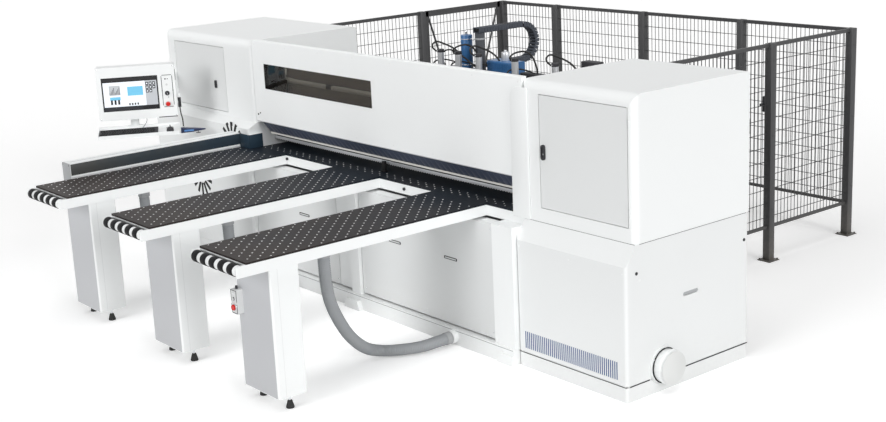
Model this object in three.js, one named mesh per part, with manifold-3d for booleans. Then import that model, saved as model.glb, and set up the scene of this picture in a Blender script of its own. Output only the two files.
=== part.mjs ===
import * as THREE from "three";
import { mergeVertices } from "three/addons/utils/BufferGeometryUtils.js";
import Module from "manifold-3d";

// Beam saw for cutting panels. Millimetres, +Z up.
// X runs along the saw beam, to the operator's right. Y runs from the operator to the back.
// Inside the machine group X is zero at the right tower's inner face, Y is zero at the
// front face of the towers and Z is zero at the floor.

const wasm = await Module();
wasm.setup();

// Whole machine
const openingWidth = 3150;
const tableHeight = 1000;
const runGap = 0.3;
const overrun = 1;

// Towers: an upper housing on a lower cabinet that stands forward of it
const sheet = 8;
const towerDepth = 1025;
const towerTop = 1850;
const towerNoseRadius = 65;
const towerCornerRadius = 45;
const rightTowerWidth = 950;
const rightSeamDrop = 38;
const leftTowerWidth = 1396;
const leftSeam = 1200;
const leftCabinetExtra = 150;
const cabinetStep = 85;
const cabinetSlope = 122;
const leftCabinetSlope = 45;
const cabinetCornerRadius = 22;
const plinthHeight = 94;
const shadowGapHeight = 9;
const shadowGapDepth = 5;
const cupboardDepth = 240;

// Doors of the upper housings
const doorThickness = 20;
const doorGap = 4;
const doorRadius = 6;
const rightDoorMargin = 52;
const rightDoorTopMargin = 79;
const rightDoorInset = 152;
const rightDoorSill = 91;
const leftDoorWidth = 812;
const leftDoorHeight = 536;
const leftDoorInset = 150;
const leftDoorBottom = 1232;
const hingeSetback = 9;
const hingePinRadius = 4;
const hingePinGap = 0.3;
const hingePinReach = 12;
const hingeBossWidth = 16;
const hingeBossHeight = 14;
const latchWidth = 34;
const latchHeight = 96;
const latchDepth = 13;
const latchEdge = 38;
const leftLatchWidth = 24;
const leftLatchHeight = 64;
const leftLatchInset = 156;
const leftLatchDrop = 47;

// Front louvre of the right cabinet
const louvreCount = 47;
const louvreSlot = 9;
const louvreHeight = 114;
const louvreBottom = 130;
const louvreInset = 62;
const louvreEnd = 70;

// Round radial vents of the left cabinet
const ventOuter = 132;
const ventInner = 62;
const ventSlot = 13;
const ventSlots = 14;
const upperVentInset = 262;
const upperVentHeight = 1018;
const lowerVentInset = 824;
const lowerVentHeight = 660;

// Right side of the right cabinet: recessed grip, plugs and extraction port
const sideGripLength = 138;
const sideGripHeight = 26;
const sideGripY = 480;
const sideGripZ = 565;
const plugRadius = 10;
const plugZ = 790;
const plugInset = 45;
const portY = 231;
const portZ = 164;
const portFlangeRadius = 122;
const portFlangeThickness = 14;
const portNeckRadius = 104;
const portNeckLength = 34;
const portCapRadius = 110;
const portCapRise = 16;

// Front guard of the beam with its window
const guardInset = 5;
const guardThickness = 42;
const guardSheet = 4;
const guardTop = 1862;
const guardBottom = 1215;
const guardEdgeRadius = 8;
const windowInset = 152;
const windowLength = 1416;
const windowBottom = 1486;
const windowTop = 1684;
const windowRadius = 6;
const windowRebate = 12;
const windowThickness = 5;
const lipDrop = 96;
const lipRun = 84;
const lipThickness = 4;

// Fixed girder over the pressure beam, with its lift cylinders
const girderFront = 150;
const girderDepth = 300;
const girderBottom = 1400;
const girderHeight = 190;
const girderWall = 12;
const girderFlange = 16;
const girderFlangeRim = 20;
const liftBarrelRadius = 34;
const liftBarrelLength = 130;
const liftRodEntry = 60;
const liftInset = 420;
const liftRodRadius = 13;
const liftRodGap = 1;

// Pressure beam
const beamFront = 160;
const beamDepth = 340;
const beamHeight = 170;
const beamOpen = 46;
const beamEndGap = 8;
const beamSlotWidth = 30;
const beamSlotDepth = 110;
const beamRailHeight = 27;
const beamRailGap = 16;
const beamRailDepth = 14;
const beamWall = 26;

// Front table and cut line
const cutLine = 330;
const kerfSlot = 12;
const tableThickness = 14;
const tableRailHeight = 68;
const tableRailDepth = 50;

// Machine bed between the towers
const bedRailFront = 136;
const bedRailDepth = 110;
const bedRailHeight = 110;
const bedBack = 760;
const bedPostWidth = 104;
const bedPostDepth = 82;
const bedPostFront = 118;
const bedPostShare = 0.5524;
const bedRightPostWidth = 194;
const bedLeftPostWidth = 44;
const bedPostFootFlare = 46;
const bedPostFootHeight = 70;
const bedPostFootForward = 34;
const bedTopBeam = 58;
const bedCrossDepth = 90;
const bedPanelFront = 92;
const bedPanelThickness = 20;
const bedPanelBottom = 122;
const bedPanelDrop = 100;
const bedPanelRadius = 42;
const bedPanelGap = 6;
const bedPanelSeamShare = 0.6254;
const bedFlange = 20;
const bedFlangeThickness = 12;
const bedGripLength = 138;
const bedGripHeight = 22;
const bedGripDepth = 9;
const bedGripZ = 585;
const bedGripShares = [0.2079, 0.4032, 0.7651];
const bedBackSheet = 8;
const bedCoverThickness = 10;

// Ways of the saw carriage
const wayRadius = 20;
const wayY = 92;
const wayBackY = 610;
const wayZ = 420;
const wayReach = 560;
const wayLedgeHeight = 26;

// Saw carriage, lifting head and blades
const hatchFront = 12;
const hatchBack = 700;
const hatchBottom = 330;
const hatchTop = 930;
const bladeClear = 20;
const carriageLength = 640;
const carriageHeight = 70;
const carriagePark = 200;
const carriageShoe = 60;
const carriageShoeShare = 0.6;
const carriageShoeGap = 0.6;
const carriagePocket = 40;
const carriageRim = 30;
const mastWidth = 90;
const mastDepth = 60;
const mastHeight = 380;
const mastX = -45;
const mastCheek = 14;
const mastWrap = 40;
const mastGap = 0.6;
const headPlateThickness = 22;
const headPlateSetback = 42;
const headPlateLeft = 232;
const headPlateRight = 306;
const headPlateHeight = 164;
const headPlateDrop = 240;
const headPlateRadius = 30;
const headLift = 165;
const mainBladeRadius = 175;
const mainBladeThickness = 4.4;
const mainBladeToothCount = 24;
const mainBladeTooth = 9;
const mainBladeDrop = 262;
const mainBladeX = 90;
const scoreBladeRadius = 80;
const scoreBladeToothCount = 12;
const scoreBladeTooth = 5;
const scoreBladeX = -180;
const scoreBladeProud = 3;
const flangeRadius = 48;
const scoreFlangeRadius = 34;
const flangeThickness = 10;
const spindleRadius = 14;
const spindleGap = 0.6;
const motorX = 200;
const motorDrop = 360;
const motorRadius = 92;
const motorLength = 210;
const motorFinCount = 8;
const motorFinDepth = 10;

// Rear table with its roller tracks and the ways of the pusher
const rearTableBack = 3540;
const rearStripBack = 800;
const rearGuideRight = 1050;
const rearTableLeft = 40;
const rearBeamWidth = 70;
const rearBeamHeight = 130;
const rearBeamDrop = 70;
const rearTrackCount = 6;
const rearTrackWidth = 54;
const rearTrackGroove = 20;
const rearTrackGrooveDepth = 6;
const shortTrackCount = 3;
const shortTrackGap = 60;
const shortTrackRight = 330;
const shortTrackBack = 2250;
const shortLegInset = 30;
const rearCrossHeight = 60;
const rearCrossWidth = 60;
const rearLegWidth = 80;
const rearLegPad = 130;
const rearLegPadHeight = 12;
const rearLegFront = 940;
const rearLegBackInset = 160;
const pusherClear = 60;
const rearCrossShares = [0.02, 0.48, 0.96];
const pusherWayWidth = 34;
const pusherWayHeight = 36;

// Pusher carriage and its grippers
const pusherY = 1800;
const pusherBeamDepth = 110;
const pusherBeamHeight = 150;
const pusherBeamRise = 265;
const pusherBeamRight = 395;
const pusherBeamWall = 8;
const pusherCheek = 26;
const pusherCheekForward = 60;
const pusherCheekLength = 360;
const pusherShoeWall = 12;
const pusherShoeGap = 0.6;
const gripperWidth = 70;
const gripperReach = 165;
const gripperFloor = 12;
const gripperPalm = 26;
const gripperMouth = 84;
const gripperBack = 44;
const gripperHeadHeight = 100;
const gripperCylinderRadius = 27;
const gripperCylinderLength = 190;
const jawRodRadius = 11;
const jawRodGap = 0.6;
const jawPadHeight = 20;
const jawBore = 80;
const jawReach = 86;
const gripperShares = [0.8857, 0.8127, 0.7302, 0.5905, 0.4444];
const manifoldHeight = 26;
const manifoldDepth = 40;
const manifoldEnd = 90;

// Pusher drive box and cable chain
const driveShare = 0.6952;
const driveLength = 300;
const driveDepth = 150;
const driveHeight = 130;
const driveCornerRadius = 12;
const driveCapRadius = 34;
const driveCapHeight = 70;
const chainShare = 0.7873;
const chainWidth = 84;
const chainHeight = 46;
const chainRun = 460;
const chainRadius = 150;
const chainPostRadius = 42;
const chainPostHeight = 340;

// Air tables: three arms that carry the panels in front of the beam
const armWidth = 534;
const armLength = 1829;
const armShares = [0.1162, 0.487, 0.873];
const armNames = ["right", "middle", "left"];
const armWall = 8;
const armTopThickness = 12;
const armEdgeRadius = 5;
const armCapWidth = 14;
const armCapLength = 52;
const rollerRadius = 37;
const rollerRibRadius = 34;
const rollerRibCount = 5;
const rollerRibWidth = 61;
const rollerOffset = 42;
const rollerDrop = 8;
const bracketThickness = 8;
const rollerPinReach = 8;
const rollerEndGap = 3;
const rollerPinRadius = 8;
const rollerPinGap = 0.5;
const plenumLength = 190;
const plenumWidth = 180;
const plenumHeight = 46;
const plenumFromFront = 720;
const plenumFromRight = 284;

// Legs of the arms
const legWidth = 395;
const legDepth = 206;
const legInset = 53;
const legFromFront = 181;
const legPlate = 5;
const legWall = 5;
const legBottom = 88;
const legFoldRadius = 12;
const footRadius = 24;
const footTopRadius = 13;
const footHeight = 44;
const footStudRadius = 9;
const footInset = 48;

// Squaring fence on the left arm
const fenceWidth = 132;
const fenceRise = 113;
const fenceDrop = 95;
const fenceFront = 1549;
const fenceGroove = 10;
const fenceWall = 12;

// Push-button box on the right arm's leg
const buttonBoxWidth = 70;
const buttonBoxHeight = 156;
const buttonBoxDepth = 46;
const buttonBoxZ = 642;
const buttonBoxStopDrop = 35;
const buttonBoxRadius = 9;
const buttonBoxInset = 3;
const stopRadius = 19;
const stopCrown = 12;
const stopStemRadius = 11;
const stopTravel = 5;
const pressRadius = 11;
const pressProud = 7;
const pressTravel = 3;
const buttonPitch = 54;
const buttonBoreGap = 0.5;

// Extraction hose from the right arm to the bed
const hoseRadius = 40;
const hoseRib = 3.5;
const hoseWall = 4;
const hoseRibCount = 20;
const hoseSideCount = 8;
const hoseBoreStepCount = 1;
const hoseRun = 80;
const hosePortX = 600;
const hosePortZ = 60;
const hosePortDepth = 60;
const collarRadius = 47;
const collarLength = 36;

// Operator's console and the bracket that carries it
const consoleOffset = 880;
const consoleY = 620;
const consoleTurnDegrees = 60;
const bracketInset = 95;
const bracketPlateWidth = 88;
const bracketPlateHeight = 156;
const bracketPlateThickness = 12;
const bracketBottom = 1405;
const bracketHeight = 90;
const bracketWidth = 56;
const pivotBack = 80;
const pivotRadius = 24;
const pivotGap = 0.9;
const pivotEyeRadius = 38;
const pivotCollarRadius = 36;
const pivotCollarHeight = 14;
const hubHeight = 100;
const hubRadius = 38;
const neckRadius = 34;
const neckEntry = 7;
const neckFlangeRadius = 52;
const neckFlangeHeight = 14;
const housingLeft = 272;
const housingRight = 354;
const housingFront = 100;
const housingDepth = 122;
const housingBottom = 1235;
const housingTop = 1668;
const housingRadius = 16;
const housingWall = 4;
const screenLeft = 228;
const screenRight = 211;
const screenBottom = 1314;
const screenTop = 1580;
const screenThickness = 8;
const screenRebate = 3;
const trayLeft = 284;
const trayRight = 360;
const trayFront = 302;
const trayBack = 62;
const trayBottom = 1127;
const trayThickness = 5;
const trayLip = 20;
const trayBridgeWidth = 120;
const trayBridgeHeight = 16;
const trayTiltDegrees = 7.5;
const keyboardWidth = 462;
const keyboardDepth = 142;
const keyboardHeight = 22;
const keyboardLeft = 274;
const keyboardBack = 152;
const keyboardRowCount = 4;
const keyboardColumnCount = 5;
const keyRise = 3;
const mouseLength = 104;
const mouseWidth = 60;
const mouseHeight = 30;
const mouseX = 284;
const mouseY = 208;
const switchX = 284;
const consoleStopZ = 1344;
const keySwitchZ = 1432;
const keySwitchRadius = 12;
const keySwitchProud = 12;
const keyCollar = 17;
const keyCollarProud = 6;
const keyBowWidth = 16;
const keyBowLength = 18;
const keyBowThickness = 4;
const cordRadius = 3;
const cordX = 60;
const cordSlotX = 100;
const cordSlotY = 60;

// Blow gun beside the console
const hookReach = 110;
const hookWidth = 40;
const hookThickness = 10;
const hookDrop = 37;
const hookInset = 20;
const gunLength = 190;
const gunRadius = 19;
const gunTipRadius = 5;
const gunStart = 12;
const gunY = 110;
const gunInletRadius = 8;
const gunInletHeight = 14;
const gunInletX = 16;
const triggerLength = 36;
const triggerWidth = 10;
const triggerThickness = 5;
const triggerX = 132;
const triggerDrop = 6;
const triggerStemRadius = 2.5;
const triggerStemGap = 0.4;
const airHoseRadius = 5;
const airGripRadius = 12;
const airGripLength = 116;
const airGripBottom = 1300;
const airGripY = 40;
const airGripGap = 6;

// Safety fence round the rear of the machine
const guardPost = 64;
const guardPostHeight = 1712;
const guardBase = 126;
const guardBaseHeight = 8;
const guardRightX = 289;
const guardLeftInset = 55;
const guardRearY = 3838;
const guardFirstY = 1100;
const guardReturn = 60;
const guardTieWidth = 40;
const gateBoltZ = 1100;
const gateBoltHeight = 60;
const guardMidY = 2820;
const gateWidth = 1000;
const guardRearShares = [0.263, 0.5357, 0.811];
const guardRailThickness = 20;
const guardTopRail = 30;
const guardBottomRail = 25;
const guardPanelBottom = 262;
const guardMeshThickness = 6;
const guardMeshBar = 7;
const guardMeshColumnCount = 2;
const guardMeshRowCount = 2;
const gateTopRail = 58;
const gateStile = 38;
const gateGap = 12;
const gateBraceWidth = 22;
const gateHingeRadius = 12;
const gateHingeLength = 90;
const interlockWidth = 34;
const interlockHeight = 120;
const interlockZ = 1240;

// Materials
const paint = (color, roughness = 0.42, metalness = 0.1) =>
  new THREE.MeshStandardMaterial({ color, roughness, metalness });
const whitePaint = () => paint(0xf0f2f1);
const greyPaint = () => paint(0xc9cccb, 0.5);
const darkPaint = () => paint(0x3a3c3d, 0.55);
const bluePaint = () => paint(0x1f5fa6, 0.4);
const slateBoard = () => paint(0x3a4046, 0.38, 0);
const blackPlastic = () => paint(0x141516, 0.5, 0);
const blackRubber = () => paint(0x101010, 0.75, 0);
const redPlastic = () => paint(0xc4261d, 0.35, 0);
const steel = () => paint(0xb9bdc0, 0.28, 0.95);
const aluminium = () => paint(0xc6cacd, 0.34, 0.9);

// Meshes and solids
function toSolid(geometry) {
  const bare = geometry.index ? geometry.clone() : geometry;
  bare.deleteAttribute("normal");
  bare.deleteAttribute("uv");
  const merged = mergeVertices(bare);
  const vertProperties = new Float32Array(merged.attributes.position.array);
  const triVerts = new Uint32Array(merged.index.array);
  return new wasm.Manifold(new wasm.Mesh({ numProp: 3, vertProperties, triVerts }));
}

function toGeometry(solid) {
  const mesh = solid.getMesh();
  const geometry = new THREE.BufferGeometry();
  geometry.setAttribute("position", new THREE.BufferAttribute(mesh.vertProperties, mesh.numProp));
  geometry.setIndex(new THREE.BufferAttribute(mesh.triVerts, 1));
  geometry.computeVertexNormals();
  return geometry;
}

const asSolid = (piece) => (piece.isBufferGeometry ? toSolid(piece) : piece);
const join = (...pieces) => pieces.map(asSolid).reduce((all, piece) => all.add(piece));
const cut = (body, ...tools) =>
  tools.map(asSolid).reduce((left, tool) => left.subtract(tool), asSolid(body));
const meet = (first, second) => asSolid(first).intersect(asSolid(second));

function part(name, shape, material) {
  const mesh = new THREE.Mesh(shape.isBufferGeometry ? shape : toGeometry(shape), material);
  mesh.name = name;
  return mesh;
}

// A block between two corners
function block(x0, x1, y0, y1, z0, z1) {
  const geometry = new THREE.BoxGeometry(x1 - x0, y1 - y0, z1 - z0);
  return geometry.translate((x0 + x1) / 2, (y0 + y1) / 2, (z0 + z1) / 2);
}

// An outline in (y, z) drawn out along X, in (x, z) along Y, or in (x, y) along Z
const frames = {
  x: new THREE.Matrix4().makeBasis(
    new THREE.Vector3(0, 1, 0), new THREE.Vector3(0, 0, 1), new THREE.Vector3(1, 0, 0)),
  y: new THREE.Matrix4().makeBasis(
    new THREE.Vector3(1, 0, 0), new THREE.Vector3(0, 0, 1), new THREE.Vector3(0, -1, 0)),
};

function drawnOut(shape, depth, segments = 6) {
  return new THREE.ExtrudeGeometry(shape, { depth, bevelEnabled: false, curveSegments: segments });
}

const alongX = (shape, x0, x1, segments) =>
  drawnOut(shape, x1 - x0, segments).applyMatrix4(frames.x).translate(x0, 0, 0);
const alongY = (shape, y0, y1, segments) =>
  drawnOut(shape, y1 - y0, segments).applyMatrix4(frames.y).translate(0, y1, 0);
const alongZ = (shape, z0, z1, segments) => drawnOut(shape, z1 - z0, segments).translate(0, 0, z0);

function outline(points) {
  return new THREE.Shape(points.map(([u, v]) => new THREE.Vector2(u, v)));
}

// A rectangle with its own radius at each corner, from the lower left, anticlockwise
function roundRect(u0, u1, v0, v1, r0, r1 = r0, r2 = r0, r3 = r0) {
  const shape = new THREE.Shape();
  const quarter = Math.PI / 2;
  shape.moveTo(u0 + r0, v0);
  shape.lineTo(u1 - r1, v0);
  if (r1 > 0) shape.absarc(u1 - r1, v0 + r1, r1, -quarter, 0, false);
  shape.lineTo(u1, v1 - r2);
  if (r2 > 0) shape.absarc(u1 - r2, v1 - r2, r2, 0, quarter, false);
  shape.lineTo(u0 + r3, v1);
  if (r3 > 0) shape.absarc(u0 + r3, v1 - r3, r3, quarter, 2 * quarter, false);
  shape.lineTo(u0, v0 + r0);
  if (r0 > 0) shape.absarc(u0 + r0, v0 + r0, r0, 2 * quarter, 3 * quarter, false);
  return shape;
}

// Round bars along each axis, from a centre and two ends
function barX(radius, x0, x1, y, z, sides = 16) {
  const bar = new THREE.CylinderGeometry(radius, radius, x1 - x0, sides);
  return bar.rotateZ(Math.PI / 2).translate((x0 + x1) / 2, y, z);
}
function barY(radius, y0, y1, x, z, sides = 16) {
  return new THREE.CylinderGeometry(radius, radius, y1 - y0, sides).translate(x, (y0 + y1) / 2, z);
}
function barZ(radius, z0, z1, x, y, sides = 16, topRadius = radius) {
  const bar = new THREE.CylinderGeometry(topRadius, radius, z1 - z0, sides);
  return bar.rotateX(Math.PI / 2).translate(x, y, (z0 + z1) / 2);
}

// A turned piece about Z from pairs of (radius, height)
function turned(profile, sides = 24) {
  const points = profile.map(([r, z]) => new THREE.Vector2(r, z));
  return new THREE.LatheGeometry(points, sides).rotateX(Math.PI / 2);
}

// Places that several sub-parts share
const openLeft = runGap - openingWidth;
const openRight = -runGap;
const leftOuter = -openingWidth - leftTowerWidth;
const cabinetFront = -cabinetStep;
const rightSeam = tableHeight - rightSeamDrop;
const mainBladeZ = tableHeight - mainBladeDrop;
const rearBeamTop = tableHeight - rearBeamDrop;
const bedPanelTop = tableHeight - bedPanelDrop;
const slotHalf = flangeRadius;
const slotTop = mainBladeZ + headLift + mainBladeRadius + bladeClear;
const beamCentre = girderFront + girderDepth / 2;
const liftPlaces = [-liftInset, -openingWidth / 2, liftInset - openingWidth];
const wayFoot = wayZ - wayRadius - wayLedgeHeight;
const tableUnder = tableHeight - tableThickness - runGap;
const railUnder = tableUnder - tableRailHeight;

// Upper tower housings
const rightDoor = {
  x0: rightDoorInset,
  x1: rightTowerWidth - rightDoorMargin,
  z0: rightSeam + rightDoorSill,
  z1: towerTop - rightDoorTopMargin,
};
const leftDoor = {
  x0: leftOuter + leftDoorInset,
  x1: leftOuter + leftDoorInset + leftDoorWidth,
  z0: leftDoorBottom,
  z1: leftDoorBottom + leftDoorHeight,
};

function housingSide(seam) {
  return roundRect(0, towerDepth, seam, towerTop, 0, 0, cabinetCornerRadius, towerNoseRadius);
}

function housingPlan(x0, x1, inset) {
  const r = towerCornerRadius - inset;
  return roundRect(x0 + inset, x1 - inset, inset, towerDepth - inset, r, r, 0, 0);
}

// A rounded sheet box with a door opening, a cupboard behind it and a bay at the rear
function upperHousing(x0, x1, seam, door) {
  const low = seam + runGap;
  const plan = alongZ(housingPlan(x0, x1, 0), low, towerTop, 4);
  const body = meet(alongX(housingSide(low), x0, x1, 4), plan);
  const room = alongZ(housingPlan(x0, x1, sheet), low - overrun, towerTop - sheet, 4);
  const rearWall = cupboardDepth + sheet;
  const cupboard = block(x0, x1, 0, cupboardDepth, door.z0 - sheet, towerTop - towerNoseRadius);
  const rear = block(x0, x1, rearWall, towerDepth, low - overrun, towerTop - sheet);
  const under = block(x0, x1, 0, rearWall + overrun, low - overrun, door.z0 - 2 * sheet);
  const opening = alongY(
    roundRect(door.x0, door.x1, door.z0, door.z1, doorRadius), -overrun, sheet + overrun, 3);
  return cut(body, opening, meet(room, cupboard), meet(room, rear), meet(room, under));
}

// Hinge line of a door: side is 1 where the hinge is at the right edge, -1 at the left
function hingeLine(door, side) {
  return (side > 0 ? door.x1 : door.x0) - side * (doorGap + hingeSetback);
}

function hingePins(door, side) {
  const x = hingeLine(door, side);
  const half = hingeBossWidth / 2;
  const pin = (edge, way) => {
    const tip = edge - way * (doorGap + hingePinReach);
    const boss = edge + way * hingeBossHeight;
    return join(
      block(
        x - half, x + half, sheet - overrun, hingeSetback + half, Math.min(edge, boss),
        Math.max(edge, boss)),
      barZ(
        hingePinRadius, Math.min(tip, edge + way), Math.max(tip, edge + way), x, hingeSetback, 10));
  };
  return [pin(door.z1, 1), pin(door.z0, -1)];
}

function rightTower() {
  const slot = block(
    -overrun, sheet + overrun, cutLine - slotHalf, cutLine + slotHalf, rightSeam - overrun, slotTop);
  const shell = upperHousing(0, rightTowerWidth, rightSeam, rightDoor);
  return part("right_tower", join(cut(shell, slot), ...hingePins(rightDoor, 1)), whitePaint());
}

function leftTower() {
  const shell = upperHousing(leftOuter, -openingWidth, leftSeam, leftDoor);
  return part("left_tower", join(shell, ...hingePins(leftDoor, -1)), whitePaint());
}

// Door panel with a folded edge and bores for its pins, placed at its hinge line
function doorPanel(name, door, side) {
  const hingeX = hingeLine(door, side);
  const x0 = door.x0 + doorGap;
  const x1 = door.x1 - doorGap;
  const z0 = door.z0 + doorGap;
  const z1 = door.z1 - doorGap;
  const face = alongY(roundRect(x0, x1, z0, z1, doorRadius - doorGap), 0, doorThickness, 3);
  const hollow = block(
    x0 + doorThickness, x1 - doorThickness, doorThickness / 2, doorThickness + overrun,
    z0 + doorThickness, z1 - doorThickness);
  const bore = hingePinRadius + hingePinGap;
  const depth = hingePinReach + hingePinGap;
  const bores = [
    barZ(bore, z1 - depth, z1 + overrun, hingeX, hingeSetback, 10),
    barZ(bore, z0 - overrun, z0 + depth, hingeX, hingeSetback, 10),
  ];
  const shape = cut(face, hollow, ...bores);
  const mesh = part(name, toGeometry(shape).translate(-hingeX, -hingeSetback, 0), whitePaint());
  mesh.position.set(hingeX, hingeSetback, 0);
  return mesh;
}

// Oval latch on a door, turned about its middle
function doorLatch(name, x, z, width, height) {
  const w = width / 2;
  const h = height / 2;
  const oval = alongY(roundRect(-w, w, -h, h, w - runGap), -latchDepth, -runGap, 3);
  const dish = alongY(
    roundRect(-w / 2, w / 2, -2 * h / 3, 2 * h / 3, w / 3), -latchDepth - overrun, -latchDepth / 2, 2);
  const mesh = part(name, cut(oval, dish), blackPlastic());
  mesh.position.set(x, 0, z);
  return mesh;
}

// Lower cabinets: open below, with a hatch towards the beam for the parked saw carriage
function cabinetSide(seam, slope, inset, bottom) {
  return outline([
    [cabinetFront + inset, bottom],
    [towerDepth - inset, bottom],
    [towerDepth - inset, seam - inset],
    [inset / 2, seam - inset],
    [cabinetFront + inset, seam - slope - inset / 2],
  ]);
}

function cabinetPlan(x0, x1, inset) {
  const r = cabinetCornerRadius;
  return roundRect(x0 + inset, x1 - inset, cabinetFront + inset, towerDepth - inset, r);
}

function lowerCabinet(x0, x1, seam, slope, wallX) {
  const bodyBottom = plinthHeight + shadowGapHeight;
  const body = meet(
    alongX(cabinetSide(seam, slope, 0, bodyBottom), x0, x1),
    alongZ(cabinetPlan(x0, x1, 0), bodyBottom, seam, 3));
  const plinth = alongZ(cabinetPlan(x0, x1, 0), 0, plinthHeight, 3);
  const neck = alongZ(
    cabinetPlan(x0, x1, shadowGapDepth), plinthHeight - overrun, bodyBottom + overrun, 3);
  const inside = alongX(cabinetSide(seam, slope, sheet, -overrun), x0 + sheet, x1 - sheet);
  const wall0 = wallX - overrun;
  const wall1 = wallX + sheet + overrun;
  const hatch = block(wall0, wall1, hatchFront, hatchBack, hatchBottom, hatchTop);
  const slot = block(
    wall0, wall1, cutLine - slotHalf, cutLine + slotHalf, hatchTop - overrun,
    Math.min(slotTop, seam + overrun));
  return cut(join(body, plinth, neck), inside, hatch, slot);
}

// The front louvre, a row of upright slots
function louvreSlots() {
  const slots = [];
  const pitch = (rightTowerWidth - louvreInset - louvreEnd) / louvreCount;
  for (let i = 0; i < louvreCount; i += 1) {
    const x = louvreInset + i * pitch;
    slots.push(block(
      x, x + louvreSlot, cabinetFront - overrun, cabinetFront + sheet + overrun,
      louvreBottom, louvreBottom + louvreHeight));
  }
  return slots;
}

// Turned extraction port, its axis along +X from the cabinet's side
function dustPort() {
  const shoulder = portFlangeThickness + portNeckLength;
  const crown = shoulder + 2 * portCapRise;
  const profile = [
    [0, -sheet],
    [portNeckRadius - portFlangeThickness, -sheet],
    [portNeckRadius, 0],
    [portFlangeRadius, 0],
    [portFlangeRadius, portFlangeThickness],
    [portNeckRadius, portFlangeThickness],
    [portNeckRadius, shoulder],
    [portCapRadius, shoulder],
    [portCapRadius, shoulder + portCapRise],
    [portCapRadius - portCapRise, crown],
    [0, crown + portFlangeThickness / 2],
  ];
  return turned(profile, 20).rotateY(Math.PI / 2).translate(rightTowerWidth, portY, portZ);
}

function rightCabinet() {
  const shell = lowerCabinet(0, rightTowerWidth, rightSeam, cabinetSlope, 0);
  const inner = rightTowerWidth - sheet - overrun;
  const outer = rightTowerWidth + overrun;
  const bladeWay = block(
    -overrun, wayReach, cutLine - slotHalf, cutLine + slotHalf,
    rightSeam - sheet - overrun, rightSeam + overrun);
  const grip = alongX(
    roundRect(
      sideGripY - sideGripLength / 2, sideGripY + sideGripLength / 2,
      sideGripZ - sideGripHeight / 2, sideGripZ + sideGripHeight / 2, sideGripHeight / 2 - runGap),
    inner, outer, 3);
  const plugs = [plugInset - cabinetStep / 2, towerDepth - plugInset].map((y) =>
    barX(plugRadius, inner, outer, y, plugZ, 8));
  const body = cut(shell, bladeWay, ...louvreSlots(), grip, ...plugs);
  return part("right_cabinet", join(body, dustPort()), whitePaint());
}

// Radial slots round a centre in the front sheet
function radialVent(x, z) {
  const slots = [];
  for (let i = 0; i < ventSlots; i += 1) {
    const slot = block(
      -ventSlot / 2, ventSlot / 2, cabinetFront - overrun, cabinetFront + sheet + overrun,
      ventInner, ventOuter);
    slot.rotateY((2 * Math.PI * i) / ventSlots);
    slots.push(slot.translate(x, 0, z));
  }
  return slots;
}

function leftCabinet() {
  const x1 = -openingWidth;
  const x0 = leftOuter - leftCabinetExtra;
  const shell = lowerCabinet(x0, x1, leftSeam, leftCabinetSlope, x1 - sheet);
  const upper = radialVent(x1 - upperVentInset, upperVentHeight);
  const lower = radialVent(x1 - lowerVentInset, lowerVentHeight);
  return part("left_cabinet", cut(shell, ...upper, ...lower), whitePaint());
}

// Front guard: a folded sheet with a window, and a sloping lip below it
const windowX0 = windowInset - openingWidth;
const windowX1 = windowX0 + windowLength;

function beamGuard() {
  const back = guardInset + guardThickness;
  const skin = alongX(
    roundRect(guardInset, back, guardBottom, guardTop, guardEdgeRadius, 0, 0, guardEdgeRadius),
    openLeft, openRight, 4);
  const hollow = block(
    openLeft + guardSheet, openRight - guardSheet, guardInset + guardSheet, back + overrun,
    guardBottom + guardSheet, guardTop - guardSheet);
  const opening = alongY(
    roundRect(windowX0, windowX1, windowBottom, windowTop, windowRadius), 0, back + overrun, 3);
  const bottom = guardBottom + guardSheet / 2;
  const lipBack = back - lipThickness + lipRun;
  const lip = alongX(
    outline([
      [back - lipThickness, bottom],
      [lipBack, bottom - lipDrop],
      [lipBack + lipThickness, bottom - lipDrop + lipThickness],
      [back, bottom + lipThickness],
    ]),
    openLeft, openRight);
  return part("beam_guard", join(cut(skin, hollow, opening), lip), whitePaint());
}

// Smoked window behind the guard's opening
function guardWindow() {
  const front = guardInset + guardSheet + runGap;
  const pane = alongY(
    roundRect(
      windowX0 - windowRebate, windowX1 + windowRebate,
      windowBottom - windowRebate, windowTop + windowRebate, windowRadius),
    front, front + windowThickness, 3);
  return part("guard_window", pane, paint(0x2d2f2c, 0.15, 0));
}

// Girder across the opening, with the barrels of the lift cylinders under it
function girderEnd(x0, x1) {
  const y1 = girderFront + girderDepth;
  const top = girderBottom + girderHeight;
  const rim = girderFlangeRim;
  return cut(
    block(x0, x1, girderFront - rim, y1 + rim, girderBottom - rim, top + rim),
    block(
      x0 - overrun, x1 + overrun, girderFront + girderWall, y1 - girderWall,
      girderBottom + girderWall, top - girderWall));
}

function liftBarrel(x) {
  const low = girderBottom - liftBarrelLength;
  return cut(
    barZ(liftBarrelRadius, low, girderBottom + overrun, x, beamCentre, 12),
    barZ(liftRodRadius + liftRodGap, low - overrun, girderBottom - girderWall, x, beamCentre, 8));
}

function beamGirder() {
  const y1 = girderFront + girderDepth;
  const top = girderBottom + girderHeight;
  const tube = cut(
    block(openLeft, openRight, girderFront, y1, girderBottom, top),
    block(
      openLeft - overrun, openRight + overrun, girderFront + girderWall, y1 - girderWall,
      girderBottom + girderWall, top - girderWall));
  const frontBar = barX(
    girderFlangeRim, openLeft + overrun, openRight - overrun, girderFront - girderFlangeRim / 3,
    top - 2 * girderFlangeRim, 10);
  const pieces = [
    tube,
    girderEnd(openLeft, openLeft + girderFlange),
    girderEnd(openRight - girderFlange, openRight),
    frontBar,
    ...liftPlaces.map(liftBarrel),
  ];
  return part("beam_girder", join(...pieces), greyPaint());
}

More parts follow.
